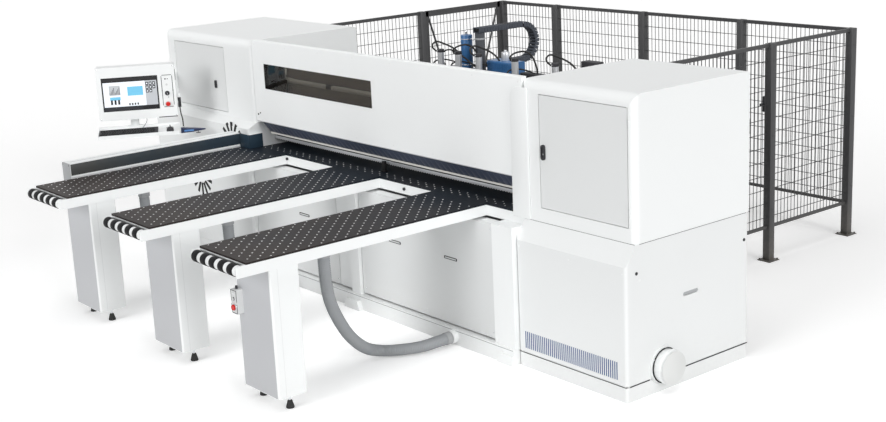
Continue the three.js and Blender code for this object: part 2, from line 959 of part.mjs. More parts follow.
// Pressure beam with two front rails, a slot for the raised blade and its lift rods
function pressureBeam() {
  const x0 = beamEndGap - openingWidth;
  const x1 = -beamEndGap;
  const z0 = tableHeight + beamOpen;
  const z1 = z0 + beamHeight;
  const y0 = beamFront;
  const y1 = beamFront + beamDepth;
  const slotFront = cutLine - beamSlotWidth / 2;
  const slotBack = cutLine + beamSlotWidth / 2;
  const firstRail = z0 + beamRailHeight;
  const secondRail = firstRail + beamRailGap + beamRailHeight;
  const section = outline([
    [y0, z0],
    [slotFront, z0],
    [slotFront, z0 + beamSlotDepth],
    [slotBack, z0 + beamSlotDepth],
    [slotBack, z0],
    [y1, z0],
    [y1, z1],
    [y0 + 2 * beamRailDepth, z1],
    [y0 + 2 * beamRailDepth, secondRail],
    [y0, secondRail],
    [y0, firstRail + beamRailGap],
    [y0 + beamRailDepth, firstRail + beamRailGap],
    [y0 + beamRailDepth, firstRail],
    [y0, firstRail],
  ]);
  const chamber = (a, b, low, high) => block(x0 - overrun, x1 + overrun, a, b, low, high);
  const wall = beamWall;
  const body = cut(
    alongX(section, x0, x1),
    chamber(y0 + 2 * beamRailDepth + wall / 2, slotFront - wall, z0 + wall, z0 + beamSlotDepth),
    chamber(slotBack + wall, y1 - wall, z0 + wall, z0 + beamSlotDepth),
    chamber(y0 + 2 * beamRailDepth + wall, y1 - wall, z0 + beamSlotDepth + wall / 2, z1 - wall / 2));
  const rodTop = girderBottom - liftBarrelLength + liftRodEntry;
  const rods = liftPlaces.map((x) => barZ(liftRodRadius, z1 - overrun, rodTop, x, beamCentre, 8));
  return part("pressure_beam", join(body, ...rods), aluminium());
}

// Front table board, from its edge to the cut line
function frontTable() {
  const board = block(
    openLeft, openRight, runGap, cutLine - kerfSlot / 2, tableHeight - tableThickness, tableHeight);
  return part("front_table", board, slateBoard());
}

// Machine bed between the towers
const bedPostX0 = -openingWidth * bedPostShare - bedPostWidth / 2;
const bedPostX1 = bedPostX0 + bedPostWidth;
const bedSeamX = -openingWidth * bedPanelSeamShare;

// A front post with its foot, its panel flanges and the shelf that carries the front way
function bedPost(x0, x1) {
  const back = bedPostDepth - bedPostFront;
  const shelfLow = wayFoot - wayLedgeHeight;
  const flangeBack = bedPanelThickness - bedPanelFront + runGap;
  const left = Math.max(openLeft, x0 - bedFlange);
  const right = Math.min(openRight, x1 + bedFlange);
  return [
    block(x0, x1, -bedPostFront, back, bedRailHeight - overrun, railUnder),
    block(x0, x1, -bedPostFront, tableRailDepth, railUnder - bedTopBeam, railUnder),
    block(left, right, flangeBack, flangeBack + bedFlangeThickness, bedRailHeight - overrun, bedPanelTop),
    block(x0, x1, back - overrun, wayY + wayRadius, shelfLow, wayFoot + overrun),
  ];
}

function bedFoot(x0, x1, leftFlare, rightFlare, forward) {
  return alongY(
    outline([
      [x0 - leftFlare, 0],
      [x1 + rightFlare, 0],
      [x1 + rightFlare / 3, bedPostFootHeight],
      [x0 - leftFlare / 3, bedPostFootHeight],
    ]),
    -bedRailFront - forward, overrun - bedRailFront);
}

// A round way on its ledge, reaching into both cabinets
function carriageWay(y) {
  const reach = wayReach - runGap;
  const x0 = -openingWidth - reach;
  return [
    barX(wayRadius, x0, reach, y, wayZ, 14),
    block(x0, reach, y - wayRadius / 2, y + wayRadius / 2, wayFoot, wayZ),
  ];
}

// Collar of the extraction hose, with a blind bore in the base rail behind it
function hoseCollar() {
  return barY(collarRadius, -bedRailFront - collarLength, overrun - bedRailFront, -hosePortX, hosePortZ);
}
function hoseCollarBore() {
  const bore = hoseRadius - hoseWall;
  const front = -bedRailFront - collarLength - overrun;
  return barY(bore, front, hosePortDepth - bedRailFront, -hosePortX, hosePortZ);
}

function bedFrame() {
  const rail0 = -bedRailFront;
  const rail1 = bedRailDepth - bedRailFront;
  const cross = (x) => block(x, x + bedCrossDepth, rail1 - overrun, bedBack - overrun, 0, bedRailHeight);
  const panelBack = bedPanelThickness - bedPanelFront;
  const shelfLow = wayFoot - wayLedgeHeight;
  const pieces = [
    block(openLeft, openRight, rail0, rail1, 0, bedRailHeight),
    block(openLeft, openRight, bedBack - bedRailDepth, bedBack, 0, bedRailHeight),
    cross(openLeft),
    cross(bedPostX0),
    cross(openRight - bedCrossDepth),
    block(openLeft, openRight, bedBack - bedBackSheet, bedBack, 0, tableUnder),
    block(openLeft, openRight, runGap, tableRailDepth, railUnder - overrun, tableUnder),
    block(openLeft, openRight, bedBack - bedTopBeam, bedBack, tableUnder - bedTopBeam, tableUnder),
    block(bedSeamX, bedPostX0 + overrun, -bedPanelFront, panelBack, bedPanelBottom, bedPanelTop),
    block(
      openLeft, openRight, panelBack + runGap, overrun, bedPanelTop - bedCoverThickness, bedPanelTop),
    ...bedPost(openLeft, openLeft + bedLeftPostWidth),
    ...bedPost(bedPostX0, bedPostX1),
    ...bedPost(openRight - bedRightPostWidth, openRight),
    block(openLeft, openRight, wayBackY, bedBack, shelfLow, wayFoot + overrun),
    ...carriageWay(wayY),
    ...carriageWay(wayBackY),
    bedFoot(bedPostX0, bedPostX1, bedPostFootFlare, bedPostFootFlare, bedPostFootForward),
    bedFoot(
      openRight - bedPostWidth, openRight, bedPostFootFlare, 0, bedPostFootForward / 2),
    hoseCollar(),
  ];
  return part("bed_frame", cut(join(...pieces), hoseCollarBore()), whitePaint());
}

// Removable front panel of the bed, with recessed grips and one rounded upper corner
function bedPanel(name, x0, x1, grips, leftRadius, rightRadius) {
  const body = alongY(
    roundRect(x0, x1, bedPanelBottom, bedPanelTop, 0, 0, rightRadius, leftRadius),
    -bedPanelFront, bedPanelThickness - bedPanelFront);
  const recesses = grips.map((share) => {
    const x = -openingWidth * share;
    const grip = roundRect(
      x - bedGripLength / 2, x + bedGripLength / 2, bedGripZ - bedGripHeight / 2,
      bedGripZ + bedGripHeight / 2, bedGripHeight / 2 - runGap);
    return alongY(grip, -bedPanelFront - overrun, bedGripDepth - bedPanelFront, 3);
  });
  return part(name, cut(body, ...recesses), whitePaint());
}

function bedPanels() {
  const gap = bedPanelGap;
  const [first, second, third] = bedGripShares;
  const right = bedPanel(
    "bed_panel_right", bedPostX1 + gap, openRight - bedRightPostWidth - gap, [first, second],
    0, bedPanelRadius);
  const left = bedPanel(
    "bed_panel_left", openLeft + bedLeftPostWidth + gap, bedSeamX - gap, [third], 0, 0);
  return [right, left];
}

// Saw carriage on the two ways, with the mast that guides the lifting head
function wayShoe(y) {
  const low = wayZ - wayRadius * carriageShoeShare;
  const high = wayZ + wayRadius + wayLedgeHeight;
  const half = carriageLength / 2;
  const ledge = wayRadius / 2 + carriageShoeGap;
  return cut(
    block(-half, half, y - carriageShoe, y + carriageShoe, low, high),
    barX(wayRadius + carriageShoeGap, -half - overrun, half + overrun, y, wayZ, 14),
    block(-half - overrun, half + overrun, y - ledge, y + ledge, low - overrun, wayZ));
}

function sawCarriage() {
  const half = carriageLength / 2;
  const base = wayZ + wayRadius + wayLedgeHeight - overrun;
  const y0 = wayY - carriageShoe;
  const y1 = wayBackY + carriageShoe;
  const plate = block(-half, half, y0, y1, base, base + carriageHeight);
  const pocket = block(
    -half + carriageRim, half - carriageRim, wayY + carriageShoe, wayBackY - carriageShoe,
    base - overrun, base + carriagePocket);
  const mastBack = mastY + mastDepth;
  const mast = block(
    mastX - mastWidth / 2, mastX + mastWidth / 2, mastY, mastBack,
    base + carriageHeight - overrun, base + carriageHeight + mastHeight);
  const shape = join(cut(plate, pocket), wayShoe(wayY), wayShoe(wayBackY), mast);
  const mesh = part("saw_carriage", shape, greyPaint());
  mesh.position.x = carriagePark;
  return mesh;
}

// Lifting head: plate, gibs round the mast, two spindles and the motor
const headPlateY = cutLine + headPlateSetback;
const mastY = headPlateY + headPlateThickness + mastGap;
const headPlateTop = tableHeight - headPlateDrop;
const headPlateBottom = headPlateTop - headPlateHeight;
const motorZ = tableHeight - motorDrop;
const scoreBladeZ = tableHeight + scoreBladeProud - headLift - scoreBladeRadius;

function spindle(x, z) {
  const front = cutLine - flangeThickness - mainBladeThickness;
  return barY(spindleRadius, front, headPlateY + overrun, x, z, 12);
}

function finnedMotor() {
  const back = headPlateY + headPlateThickness;
  const shape = new THREE.Shape();
  const steps = 4 * motorFinCount;
  for (let i = 0; i < steps; i += 1) {
    const turn = (2 * Math.PI * (i + 0.5)) / steps;
    const r = i % 4 < 2 ? motorRadius : motorRadius - motorFinDepth;
    shape[i === 0 ? "moveTo" : "lineTo"](r * Math.cos(turn), r * Math.sin(turn));
  }
  return alongY(shape, back - overrun, back + motorLength).translate(motorX, 0, motorZ);
}

function sawHead() {
  const plate = alongY(
    roundRect(
      mastX - headPlateLeft + mastWidth / 2, headPlateRight, headPlateBottom, headPlateTop,
      headPlateRadius),
    headPlateY, headPlateY + headPlateThickness, 4);
  const gib = (side) => {
    const inner = mastX + side * (mastWidth / 2 + mastGap);
    const outer = inner + side * mastCheek;
    return block(
      Math.min(inner, outer), Math.max(inner, outer), mastY - mastGap - overrun, mastY + mastWrap,
      headPlateBottom + headPlateRadius, headPlateTop - headPlateRadius);
  };
  const shape = join(
    plate, gib(-1), gib(1), spindle(mainBladeX, mainBladeZ), spindle(scoreBladeX, scoreBladeZ),
    finnedMotor());
  const mesh = part("saw_head", shape, bluePaint());
  mesh.position.x = carriagePark;
  return mesh;
}

// Toothed disc with clamping flanges, turning on its spindle
function sawBlade(name, radius, teeth, depth, flange, x, z) {
  const shape = new THREE.Shape();
  for (let i = 0; i < teeth; i += 1) {
    const turn = (2 * Math.PI * i) / teeth;
    const pitch = (2 * Math.PI) / teeth;
    const tip = [radius * Math.cos(turn), radius * Math.sin(turn)];
    const gullet = turn + pitch / 4;
    const root = radius - depth;
    shape[i === 0 ? "moveTo" : "lineTo"](tip[0], tip[1]);
    shape.lineTo(root * Math.cos(gullet), root * Math.sin(gullet));
    shape.lineTo(root * Math.cos(turn + pitch * 0.8), root * Math.sin(turn + pitch * 0.8));
  }
  const half = mainBladeThickness / 2;
  const disc = alongY(shape, -half, half);
  const collars = barY(flange, -half - flangeThickness, half + flangeThickness, 0, 0, 14);
  const bore = barY(spindleRadius + spindleGap, -cutLine, cutLine, 0, 0, 12);
  const mesh = part(name, cut(join(disc, collars), bore), steel());
  mesh.position.set(carriagePark + x, cutLine, z);
  return mesh;
}

// Rear table: strip behind the cut line, grooved tracks on cross beams, side beams and legs.
// The side beams carry the ways of the pusher, and three short tracks lie outside the right one.
const rearX0 = openLeft + rearTableLeft;
const rearX1 = -rearGuideRight;

function rearTrack(x, back) {
  const y0 = bedBack + runGap;
  const track = block(x, x + rearTrackWidth, y0, back, rearBeamTop - overrun, tableHeight);
  const side = (rearTrackWidth - rearTrackGroove) / 2;
  const groove = block(
    x + side, x + side + rearTrackGroove, rearStripBack, back + overrun,
    tableHeight - rearTrackGrooveDepth, tableHeight + overrun);
  return cut(track, groove);
}

// A row of tracks between two places along X
function rearTracks(first, last, count, back) {
  const tracks = [];
  for (let i = 0; i < count; i += 1) {
    tracks.push(rearTrack(first + ((last - first) * i) / (count - 1), back));
  }
  return tracks;
}

function rearLeg(x, y, top) {
  return [
    block(
      x - rearLegWidth / 2, x + rearLegWidth / 2, y - rearLegWidth / 2, y + rearLegWidth / 2, 0,
      top + overrun),
    block(
      x - rearLegPad / 2, x + rearLegPad / 2, y - rearLegPad / 2, y + rearLegPad / 2, 0,
      rearLegPadHeight),
  ];
}

function rearSide(x) {
  const centre = x + rearBeamWidth / 2;
  const low = rearBeamTop - rearBeamHeight;
  const legs = [rearLegFront, rearTableBack - rearLegBackInset].flatMap((y) => rearLeg(centre, y, low));
  const way = block(
    centre - pusherWayWidth / 2, centre + pusherWayWidth / 2, rearStripBack + runGap,
    rearTableBack, rearBeamTop - overrun, rearBeamTop + pusherWayHeight);
  return [
    block(x, x + rearBeamWidth, bedBack + runGap, rearTableBack, low, rearBeamTop), way, ...legs];
}

function rearTable() {
  const strip = block(
    openLeft, openRight, cutLine + kerfSlot / 2, rearStripBack, tableHeight - tableThickness,
    tableHeight);
  const run = rearTableBack - bedBack - runGap - rearCrossWidth;
  const crossY = rearCrossShares.map((share) => bedBack + runGap + run * share);
  const crosses = crossY.map((y) => {
    const right = y < shortTrackBack ? -shortTrackRight : rearX1 - overrun;
    return block(
      rearX0 + overrun, right, y, y + rearCrossWidth, rearBeamTop - rearCrossHeight, rearBeamTop);
  });
  const first = rearX0 + rearBeamWidth + pusherClear;
  const last = rearX1 - rearBeamWidth - pusherClear - rearTrackWidth;
  const tracks = rearTracks(first, last, rearTrackCount, rearTableBack);
  const shortTracks = rearTracks(
    rearX1 + shortTrackGap, -shortTrackRight - rearTrackWidth, shortTrackCount, shortTrackBack);
  const shortLeg = rearLeg(
    -shortTrackRight - shortLegInset - rearLegWidth / 2, crossY[1] + rearCrossWidth / 2,
    rearBeamTop - rearCrossHeight);
  const pieces = [
    strip, ...crosses, ...tracks, ...shortTracks, ...shortLeg, ...rearSide(rearX0),
    ...rearSide(rearX1 - rearBeamWidth)];
  return part("rear_table", join(...pieces), greyPaint());
}

// Pusher across the rear table, with gripper frames and the upright of the cable chain
const pusherBeamBottom = tableHeight + pusherBeamRise;
const pusherTop = pusherBeamBottom + pusherBeamHeight;
const pusherFace = pusherY - pusherBeamDepth / 2;
const pusherRear = pusherY + pusherBeamDepth / 2;
const gripperAxisY = pusherFace - gripperReach + gripperBack;
const palmTop = tableHeight + gripperFloor + gripperPalm;

function gripperFrame(x) {
  const half = gripperWidth / 2;
  const tip = pusherFace - gripperReach;
  const headLow = pusherTop - gripperHeadHeight;
  const frame = join(
    block(x - half, x + half, tip, pusherFace, tableHeight + gripperFloor, palmTop),
    block(
      x - half, x + half, pusherFace - gripperBack, pusherFace + overrun,
      tableHeight + gripperFloor, pusherTop),
    block(x - half, x + half, tip, pusherFace - gripperBack + overrun, headLow, pusherTop),
    barZ(
      gripperCylinderRadius, pusherTop - overrun, pusherTop + gripperCylinderLength, x,
      gripperAxisY, 10));
  return cut(
    frame, barZ(jawRodRadius + jawRodGap, headLow - overrun, pusherTop + jawBore, x, gripperAxisY, 8));
}

function pusherCheekShape(x) {
  const half = pusherWayWidth / 2 + pusherShoeGap;
  const y0 = pusherY - pusherCheekForward;
  const y1 = y0 + pusherCheekLength;
  const wayTop = rearBeamTop + pusherWayHeight;
  const shoeTop = wayTop + pusherShoeGap + pusherShoeWall;
  const shoe = cut(
    block(
      x - half - pusherShoeWall, x + half + pusherShoeWall, y0, y1,
      rearBeamTop + pusherShoeWall / 2, shoeTop),
    block(x - half, x + half, y0 - overrun, y1 + overrun, 0, wayTop + pusherShoeGap));
  const web = alongX(
    outline([
      [y0, shoeTop - overrun],
      [y1, shoeTop - overrun],
      [pusherRear, pusherTop],
      [pusherFace, pusherTop],
    ]),
    x - pusherCheek / 2, x + pusherCheek / 2);
  return join(shoe, web);
}

const gripperX = () => gripperShares.map((share) => -openingWidth * share);

function pusherCarriage() {
  const left = rearX0 + rearBeamWidth / 2;
  const right = -pusherBeamRight;
  const cheekX = rearX1 - rearBeamWidth / 2;
  const wall = pusherBeamWall;
  const beam = cut(
    block(left, right, pusherFace, pusherRear, pusherBeamBottom, pusherTop),
    block(
      left + pusherCheek, right - pusherCheek, pusherFace + wall, pusherRear - wall,
      pusherBeamBottom - overrun, pusherTop - wall));
  const places = gripperX();
  const manifold = block(
    places[0] - manifoldEnd, places[places.length - 1] + manifoldEnd,
    pusherRear - manifoldDepth - overrun, pusherRear - overrun,
    pusherTop - overrun, pusherTop + manifoldHeight);
  const upright = barZ(
    chainPostRadius, pusherTop - overrun, pusherTop + chainPostHeight, -openingWidth * chainShare,
    pusherY, 16);
  const pieces = [
    beam, pusherCheekShape(left), pusherCheekShape(cheekX), ...places.map(gripperFrame), manifold,
    upright];
  return part("pusher_carriage", join(...pieces), darkPaint());
}

// Clamp jaw: a pad under a rod that runs up into the gripper's cylinder
function gripperJaw(index, x) {
  const half = gripperWidth / 2;
  const low = palmTop + gripperMouth;
  const tip = pusherFace - gripperReach;
  const pad = block(
    x - half, x + half, tip, pusherFace - gripperBack - jawRodGap, low, low + jawPadHeight);
  const rod = barZ(
    jawRodRadius, low + jawPadHeight - overrun, pusherTop - gripperHeadHeight + jawReach, x,
    gripperAxisY, 8);
  return part(`gripper_jaw_${index + 1}`, join(pad, rod), aluminium());
}

// Drive box on the pusher beam, with a round cap
function pusherDrive() {
  const x = -openingWidth * driveShare;
  const low = pusherTop + runGap;
  const box = alongX(
    roundRect(pusherFace, pusherFace + driveDepth, low, low + driveHeight, driveCornerRadius),
    x - driveLength / 2, x + driveLength / 2, 3);
  const top = low + driveHeight;
  const y = pusherFace + driveDepth / 2;
  const cap = barZ(driveCapRadius, top - overrun, top + driveCapHeight, x, y, 18);
  return part("pusher_drive", cut(join(box, cap), manifoldNotch(x)), paint(0x1c6fc4, 0.35, 0.1));
}

// Room for the manifold under the drive box
function manifoldNotch(x) {
  return block(
    x - driveLength, x + driveLength, pusherRear - manifoldDepth - overrun - runGap, pusherY + driveDepth,
    pusherTop, pusherTop + manifoldHeight + runGap);
}

// Cable chain from the head of the upright, round a bend and back to it
function cableChain() {
  const x = -openingWidth * chainShare;
  const half = chainHeight / 2;
  const outer = chainRadius + half;
  const inner = chainRadius - half;
  const bendY = pusherY + chainRun;
  const bendZ = pusherTop + chainPostHeight + runGap + half - chainRadius;
  const shape = new THREE.Shape();
  shape.moveTo(pusherY - chainPostRadius, bendZ + inner);
  shape.lineTo(bendY, bendZ + inner);
  shape.absarc(bendY, bendZ, inner, Math.PI / 2, -Math.PI / 2, true);
  shape.lineTo(pusherY + chainPostRadius + runGap, bendZ - inner);
  shape.lineTo(pusherY + chainPostRadius + runGap, bendZ - outer);
  shape.lineTo(bendY, bendZ - outer);
  shape.absarc(bendY, bendZ, outer, -Math.PI / 2, Math.PI / 2, false);
  shape.lineTo(pusherY - chainPostRadius, bendZ + outer);
  shape.closePath();
  const band = alongX(shape, x - chainWidth / 2, x + chainWidth / 2, 10);
  return part("cable_chain", band, paint(0x2a3540, 0.5, 0));
}

// Air table arms
const armX1 = armShares.map((share) => -openingWidth * share);
const armTopUnder = tableHeight - armTopThickness;
const rollerY = -armLength - rollerOffset;
const rollerZ = tableHeight - rollerRadius - rollerDrop;

// The left arm stops short of the cabinet that stands forward of the towers
function cabinetNotch() {
  return block(
    leftOuter, runGap - openingWidth, cabinetFront - runGap, towerDepth, 0, tableHeight + overrun);
}

// Air port under each arm: a plenum open to the arm and to its hose
const plenumX = armX1.map((x) => x - plenumFromRight);
const plenumY = -armLength + plenumFromFront;

function plenum(index) {
  const x = plenumX[index];
  return block(
    x - plenumWidth / 2, x + plenumWidth / 2, plenumY - plenumLength / 2,
    plenumY + plenumLength / 2, railUnder + runGap - plenumHeight, railUnder + runGap + overrun);
}

function armBody(index) {
  const x1 = armX1[index];
  const x0 = x1 - armWidth;
  const low = railUnder + runGap;
  const high = armTopUnder - runGap;
  const capX = x1 - armCapWidth;
  const rollerFront = rollerY - armCapLength / 2;
  const tube = cut(
    block(x0, x1, -armLength, 0, low, high),
    block(x0 + armWall, x1 - armWall, -armLength - overrun, overrun, low + armWall, high - armWall));
  const pieces = [
    tube,
    alongZ(
      roundRect(capX, x1, rollerFront, overrun - armLength, armEdgeRadius, armEdgeRadius, 0, 0), low,
      high, 2),
    block(
      x0, x0 + bracketThickness, rollerY - rollerPinRadius - rollerPinReach, overrun - armLength, low,
      high),
    plenum(index),
  ];
  const pinBore = rollerPinRadius + rollerPinGap;
  const bores = [
    barX(pinBore, x0 - overrun, x0 + bracketThickness + overrun, rollerY, rollerZ),
    barX(pinBore, capX - overrun, capX + rollerPinReach + rollerEndGap, rollerY, rollerZ),
    barZ(
      hoseRadius - hoseWall, low - plenumHeight - overrun, low + armWall + overrun, plenumX[index],
      plenumY, 12),
  ];
  if (x0 < -openingWidth) bores.push(cabinetNotch());
  return part(`arm_${armNames[index]}`, cut(join(...pieces), ...bores), whitePaint());
}

function armTop(index) {
  const x1 = armX1[index];
  const x0 = x1 - armWidth;
  const r = armEdgeRadius;
  const board = alongZ(roundRect(x0, x1, -armLength, 0, r, r, 0, 0), armTopUnder, tableHeight, 2);
  const shape = x0 < -openingWidth ? cut(board, cabinetNotch()) : board;
  return part(`arm_top_${armNames[index]}`, shape, slateBoard());
}

// Front roller with raised ribs and a pin at each end
function frontRoller(index) {
  const x1 = armX1[index] - armCapWidth - rollerEndGap;
  const x0 = armX1[index] - armWidth + bracketThickness + rollerEndGap;
  const length = x1 - x0;
  const half = length / 2;
  const pitch = length / rollerRibCount;
  const profile = [[0, -half], [rollerRibRadius, -half]];
  for (let i = 0; i < rollerRibCount; i += 1) {
    const centre = -half + pitch * (i + 0.5);
    profile.push([rollerRibRadius, centre - rollerRibWidth / 2]);
    profile.push([rollerRadius, centre - rollerRibWidth / 2]);
    profile.push([rollerRadius, centre + rollerRibWidth / 2]);
    profile.push([rollerRibRadius, centre + rollerRibWidth / 2]);
  }
  profile.push([rollerRibRadius, half], [0, half]);
  const body = turned(profile, 8).rotateY(Math.PI / 2);
  const left = -half - rollerEndGap - bracketThickness;
  const pin = barX(rollerPinRadius, left, half + rollerEndGap + rollerPinReach, 0, 0, 8);
  const mesh = part(`front_roller_${armNames[index]}`, join(body, pin), blackRubber());
  mesh.position.set((x0 + x1) / 2, rollerY, rollerZ);
  return mesh;
}

// Sheet-metal leg with two levelling feet
function levellingFoot(x, y) {
  const profile = [
    [0, 0],
    [footRadius, 0],
    [footRadius, footHeight / 4],
    [footTopRadius, footHeight],
    [footStudRadius, footHeight],
    [footStudRadius, legBottom + overrun],
    [0, legBottom + overrun],
  ];
  return turned(profile, 8).translate(x, y, 0);
}

const legX1 = armX1.map((x) => x - legInset);
const legY0 = -armLength + legFromFront;

function armLeg(index) {
  const x1 = legX1[index];
  const x0 = x1 - legWidth;
  const y1 = legY0 + legDepth;
  const r = legFoldRadius;
  const tube = cut(
    alongZ(roundRect(x0, x1, legY0, y1, r, r, r, r), legBottom, railUnder, 2),
    alongZ(
      roundRect(x0 + legWall, x1 - legWall, legY0 + legWall, y1 - legWall, r - legWall),
      legBottom + legPlate, railUnder + overrun, 1));
  const y = legY0 + legDepth / 2;
  const shape = join(tube, levellingFoot(x0 + footInset, y), levellingFoot(x1 - footInset, y));
  return part(`leg_${armNames[index]}`, shape, whitePaint());
}

// Squaring fence along the left arm
function squaringFence() {
  const x1 = armX1[2] - armWidth - runGap;
  const x0 = x1 - fenceWidth;
  const wall = fenceWall;
  const fenceTop = tableHeight + fenceRise;
  const fenceBottom = tableHeight - fenceDrop;
  const section = alongY(
    outline([
      [x0, fenceBottom],
      [x1, fenceBottom],
      [x1, tableHeight + fenceGroove],
      [x1 - fenceGroove, tableHeight + fenceGroove],
      [x1 - fenceGroove, tableHeight + 2 * fenceGroove],
      [x1, tableHeight + 2 * fenceGroove],
      [x1, fenceTop],
      [x0, fenceTop],
    ]),
    -fenceFront, cabinetFront - runGap);
  const hollow = block(
    x0 + wall, x1 - fenceGroove - wall, wall - fenceFront, towerDepth, fenceBottom + wall,
    fenceTop - wall);
  return part("squaring_fence", cut(section, hollow), aluminium());
}

// Push-button box on the front of the right leg
const buttonBoxX = legX1[0] - legWidth + buttonBoxInset + buttonBoxWidth / 2;
const buttonBoxFront = legY0 - runGap - buttonBoxDepth;
const buttonStopZ = buttonBoxZ - buttonBoxStopDrop;
const buttonPressZ = buttonStopZ + buttonPitch;

function buttonBox() {
  const half = buttonBoxWidth / 2;
  const x = buttonBoxX;
  const shell = alongY(
    roundRect(
      x - half, x + half, buttonBoxZ - buttonBoxHeight / 2, buttonBoxZ + buttonBoxHeight / 2,
      buttonBoxRadius),
    buttonBoxFront, legY0 - runGap, 2);
  const gap = buttonBoreGap;
  const stopDepth = buttonBoxDepth / 2;
  const shape = cut(
    shell,
    barY(stopStemRadius + gap, buttonBoxFront - overrun, buttonBoxFront + stopDepth, x, buttonStopZ),
    barY(pressRadius + gap, buttonBoxFront - overrun, buttonBoxFront + stopDepth, x, buttonPressZ));
  return part("button_box", shape, greyPaint());
}

// Mushroom stop button: its face towards -Y, its stem in a bore behind it
function stopButton(name) {
  const crown = stopCrown;
  const clear = stopTravel + overrun;
  const profile = [
    [0, -crown - clear],
    [stopRadius * 0.7, -crown - clear],
    [stopRadius, -clear - crown / 2],
    [stopRadius, -clear],
    [stopStemRadius, -clear],
    [stopStemRadius, crown],
    [0, crown],
  ];
  return part(name, turned(profile, 14).rotateX(-Math.PI / 2), redPlastic());
}

// Plain round push button in the same box
function pressButton(name) {
  return part(name, barY(pressRadius, -pressProud, pressTravel * 3, 0, 0, 16), blackPlastic());
}

// Ribbed hose from the plenum under the right arm to the collar on the base rail
function hoseRoute() {
  const top = new THREE.Vector3(plenumX[0], plenumY, railUnder + runGap - plenumHeight - runGap);
  const end = new THREE.Vector3(-hosePortX, -bedRailFront - collarLength - runGap, hosePortZ);
  return [
    top,
    top.clone().add(new THREE.Vector3(0, 0, -hoseRun)),
    new THREE.Vector3(-652, -1090, 560),
    new THREE.Vector3(-690, -1000, 370),
    new THREE.Vector3(-746, -860, 190),
    new THREE.Vector3(-775, -720, 78),
    new THREE.Vector3(-745, -620, 48),
    new THREE.Vector3(-680, -530, 47),
    new THREE.Vector3(-618, -400, 50),
    end.clone().add(new THREE.Vector3(0, -hoseRun, 0)),
    end,
  ];
}

function ribbedTube(points, radius, rib, wall, ribs, sides, boreEvery) {
  const curve = new THREE.CatmullRomCurve3(points, false, "centripetal");
  const steps = 2 * ribs;
  const frames = curve.computeFrenetFrames(steps, false);
  const positions = [];
  const ring = (step, r) => {
    const centre = curve.getPointAt(step / steps);
    const first = positions.length / 3;
    for (let k = 0; k < sides; k += 1) {
      const turn = (2 * Math.PI * k) / sides;
      const point = centre.clone()
        .addScaledVector(frames.normals[step], r * Math.cos(turn))
        .addScaledVector(frames.binormals[step], r * Math.sin(turn));
      positions.push(point.x, point.y, point.z);
    }
    return first;
  };
  const faces = [];
  const band = (a, b, outward) => {
    for (let k = 0; k < sides; k += 1) {
      const next = (k + 1) % sides;
      const quad = [a + k, a + next, b + next, b + k];
      if (!outward) quad.reverse();
      faces.push(quad[0], quad[1], quad[2], quad[0], quad[2], quad[3]);
    }
  };
  const outer = [];
  for (let i = 0; i <= steps; i += 1) {
    outer.push(ring(i, i % 2 === 0 ? radius - rib : radius));
  }
  const bore = [];
  for (let i = 0; i <= steps; i += 2 * boreEvery) bore.push(ring(Math.min(i, steps), radius - rib - wall));
  if ((steps / (2 * boreEvery)) % 1 !== 0) bore.push(ring(steps, radius - rib - wall));
  for (let i = 0; i < steps; i += 1) band(outer[i], outer[i + 1], true);
  for (let i = 0; i < bore.length - 1; i += 1) band(bore[i], bore[i + 1], false);
  band(bore[0], outer[0], true);
  band(outer[steps], bore[bore.length - 1], true);
  const geometry = new THREE.BufferGeometry();
  geometry.setAttribute("position", new THREE.Float32BufferAttribute(positions, 3));
  geometry.setIndex(faces);
  geometry.computeVertexNormals();
  return geometry;
}

function extractionHose() {
  const tube = ribbedTube(
    hoseRoute(), hoseRadius, hoseRib, hoseWall, hoseRibCount, hoseSideCount, hoseBoreStepCount);
  return part("extraction_hose", tube, paint(0x8b8f90, 0.6, 0));
}

// Operator's console
const consoleX = -openingWidth - consoleOffset;
const consoleTurn = THREE.MathUtils.degToRad(consoleTurnDegrees);
const pivotX = consoleX - pivotBack * Math.sin(consoleTurn);
const pivotY = pivotBack * Math.cos(consoleTurn) - consoleY;
const hubTop = bracketBottom - runGap;
const hubBottom = hubTop - hubHeight;

// Bracket on the left tower, with the upright pivot that the console's hub turns on
function consoleColumn() {
  const x = leftOuter + bracketInset;
  const half = bracketPlateWidth / 2;
  const top = bracketBottom + bracketHeight;
  const plateLow = bracketBottom + (bracketHeight - bracketPlateHeight) / 2;
  const reach = Math.hypot(pivotX - x, pivotY);
  const arm = block(0, reach, -bracketWidth / 2, bracketWidth / 2, bracketBottom, top)
    .rotateZ(Math.atan2(pivotY, pivotX - x)).translate(x, 0, 0);
  const collarTop = hubBottom - runGap;
  const shape = join(
    block(
      x - half, x + half, -bracketPlateThickness - runGap, 0, plateLow,
      plateLow + bracketPlateHeight),
    arm,
    barZ(pivotEyeRadius, bracketBottom, top, pivotX, pivotY),
    barZ(pivotRadius, collarTop - pivotCollarHeight, bracketBottom + overrun, pivotX, pivotY),
    barZ(pivotCollarRadius, collarTop - pivotCollarHeight, collarTop, pivotX, pivotY));
  const tower = block(leftOuter, -openingWidth, -runGap, towerDepth, leftSeam, towerTop);
  return part("console_column", cut(shape, tower), darkPaint());
}

// Hub behind the housing, in the console's own turned frame
function consoleHub() {
  const hub = join(
    block(-hubRadius, hubRadius, housingDepth - housingFront - overrun, pivotBack, hubBottom, hubTop),
    barZ(hubRadius, hubBottom, hubTop, 0, pivotBack));
  return cut(
    hub, barZ(pivotRadius + pivotGap, hubBottom - overrun, hubTop + overrun, 0, pivotBack));
}

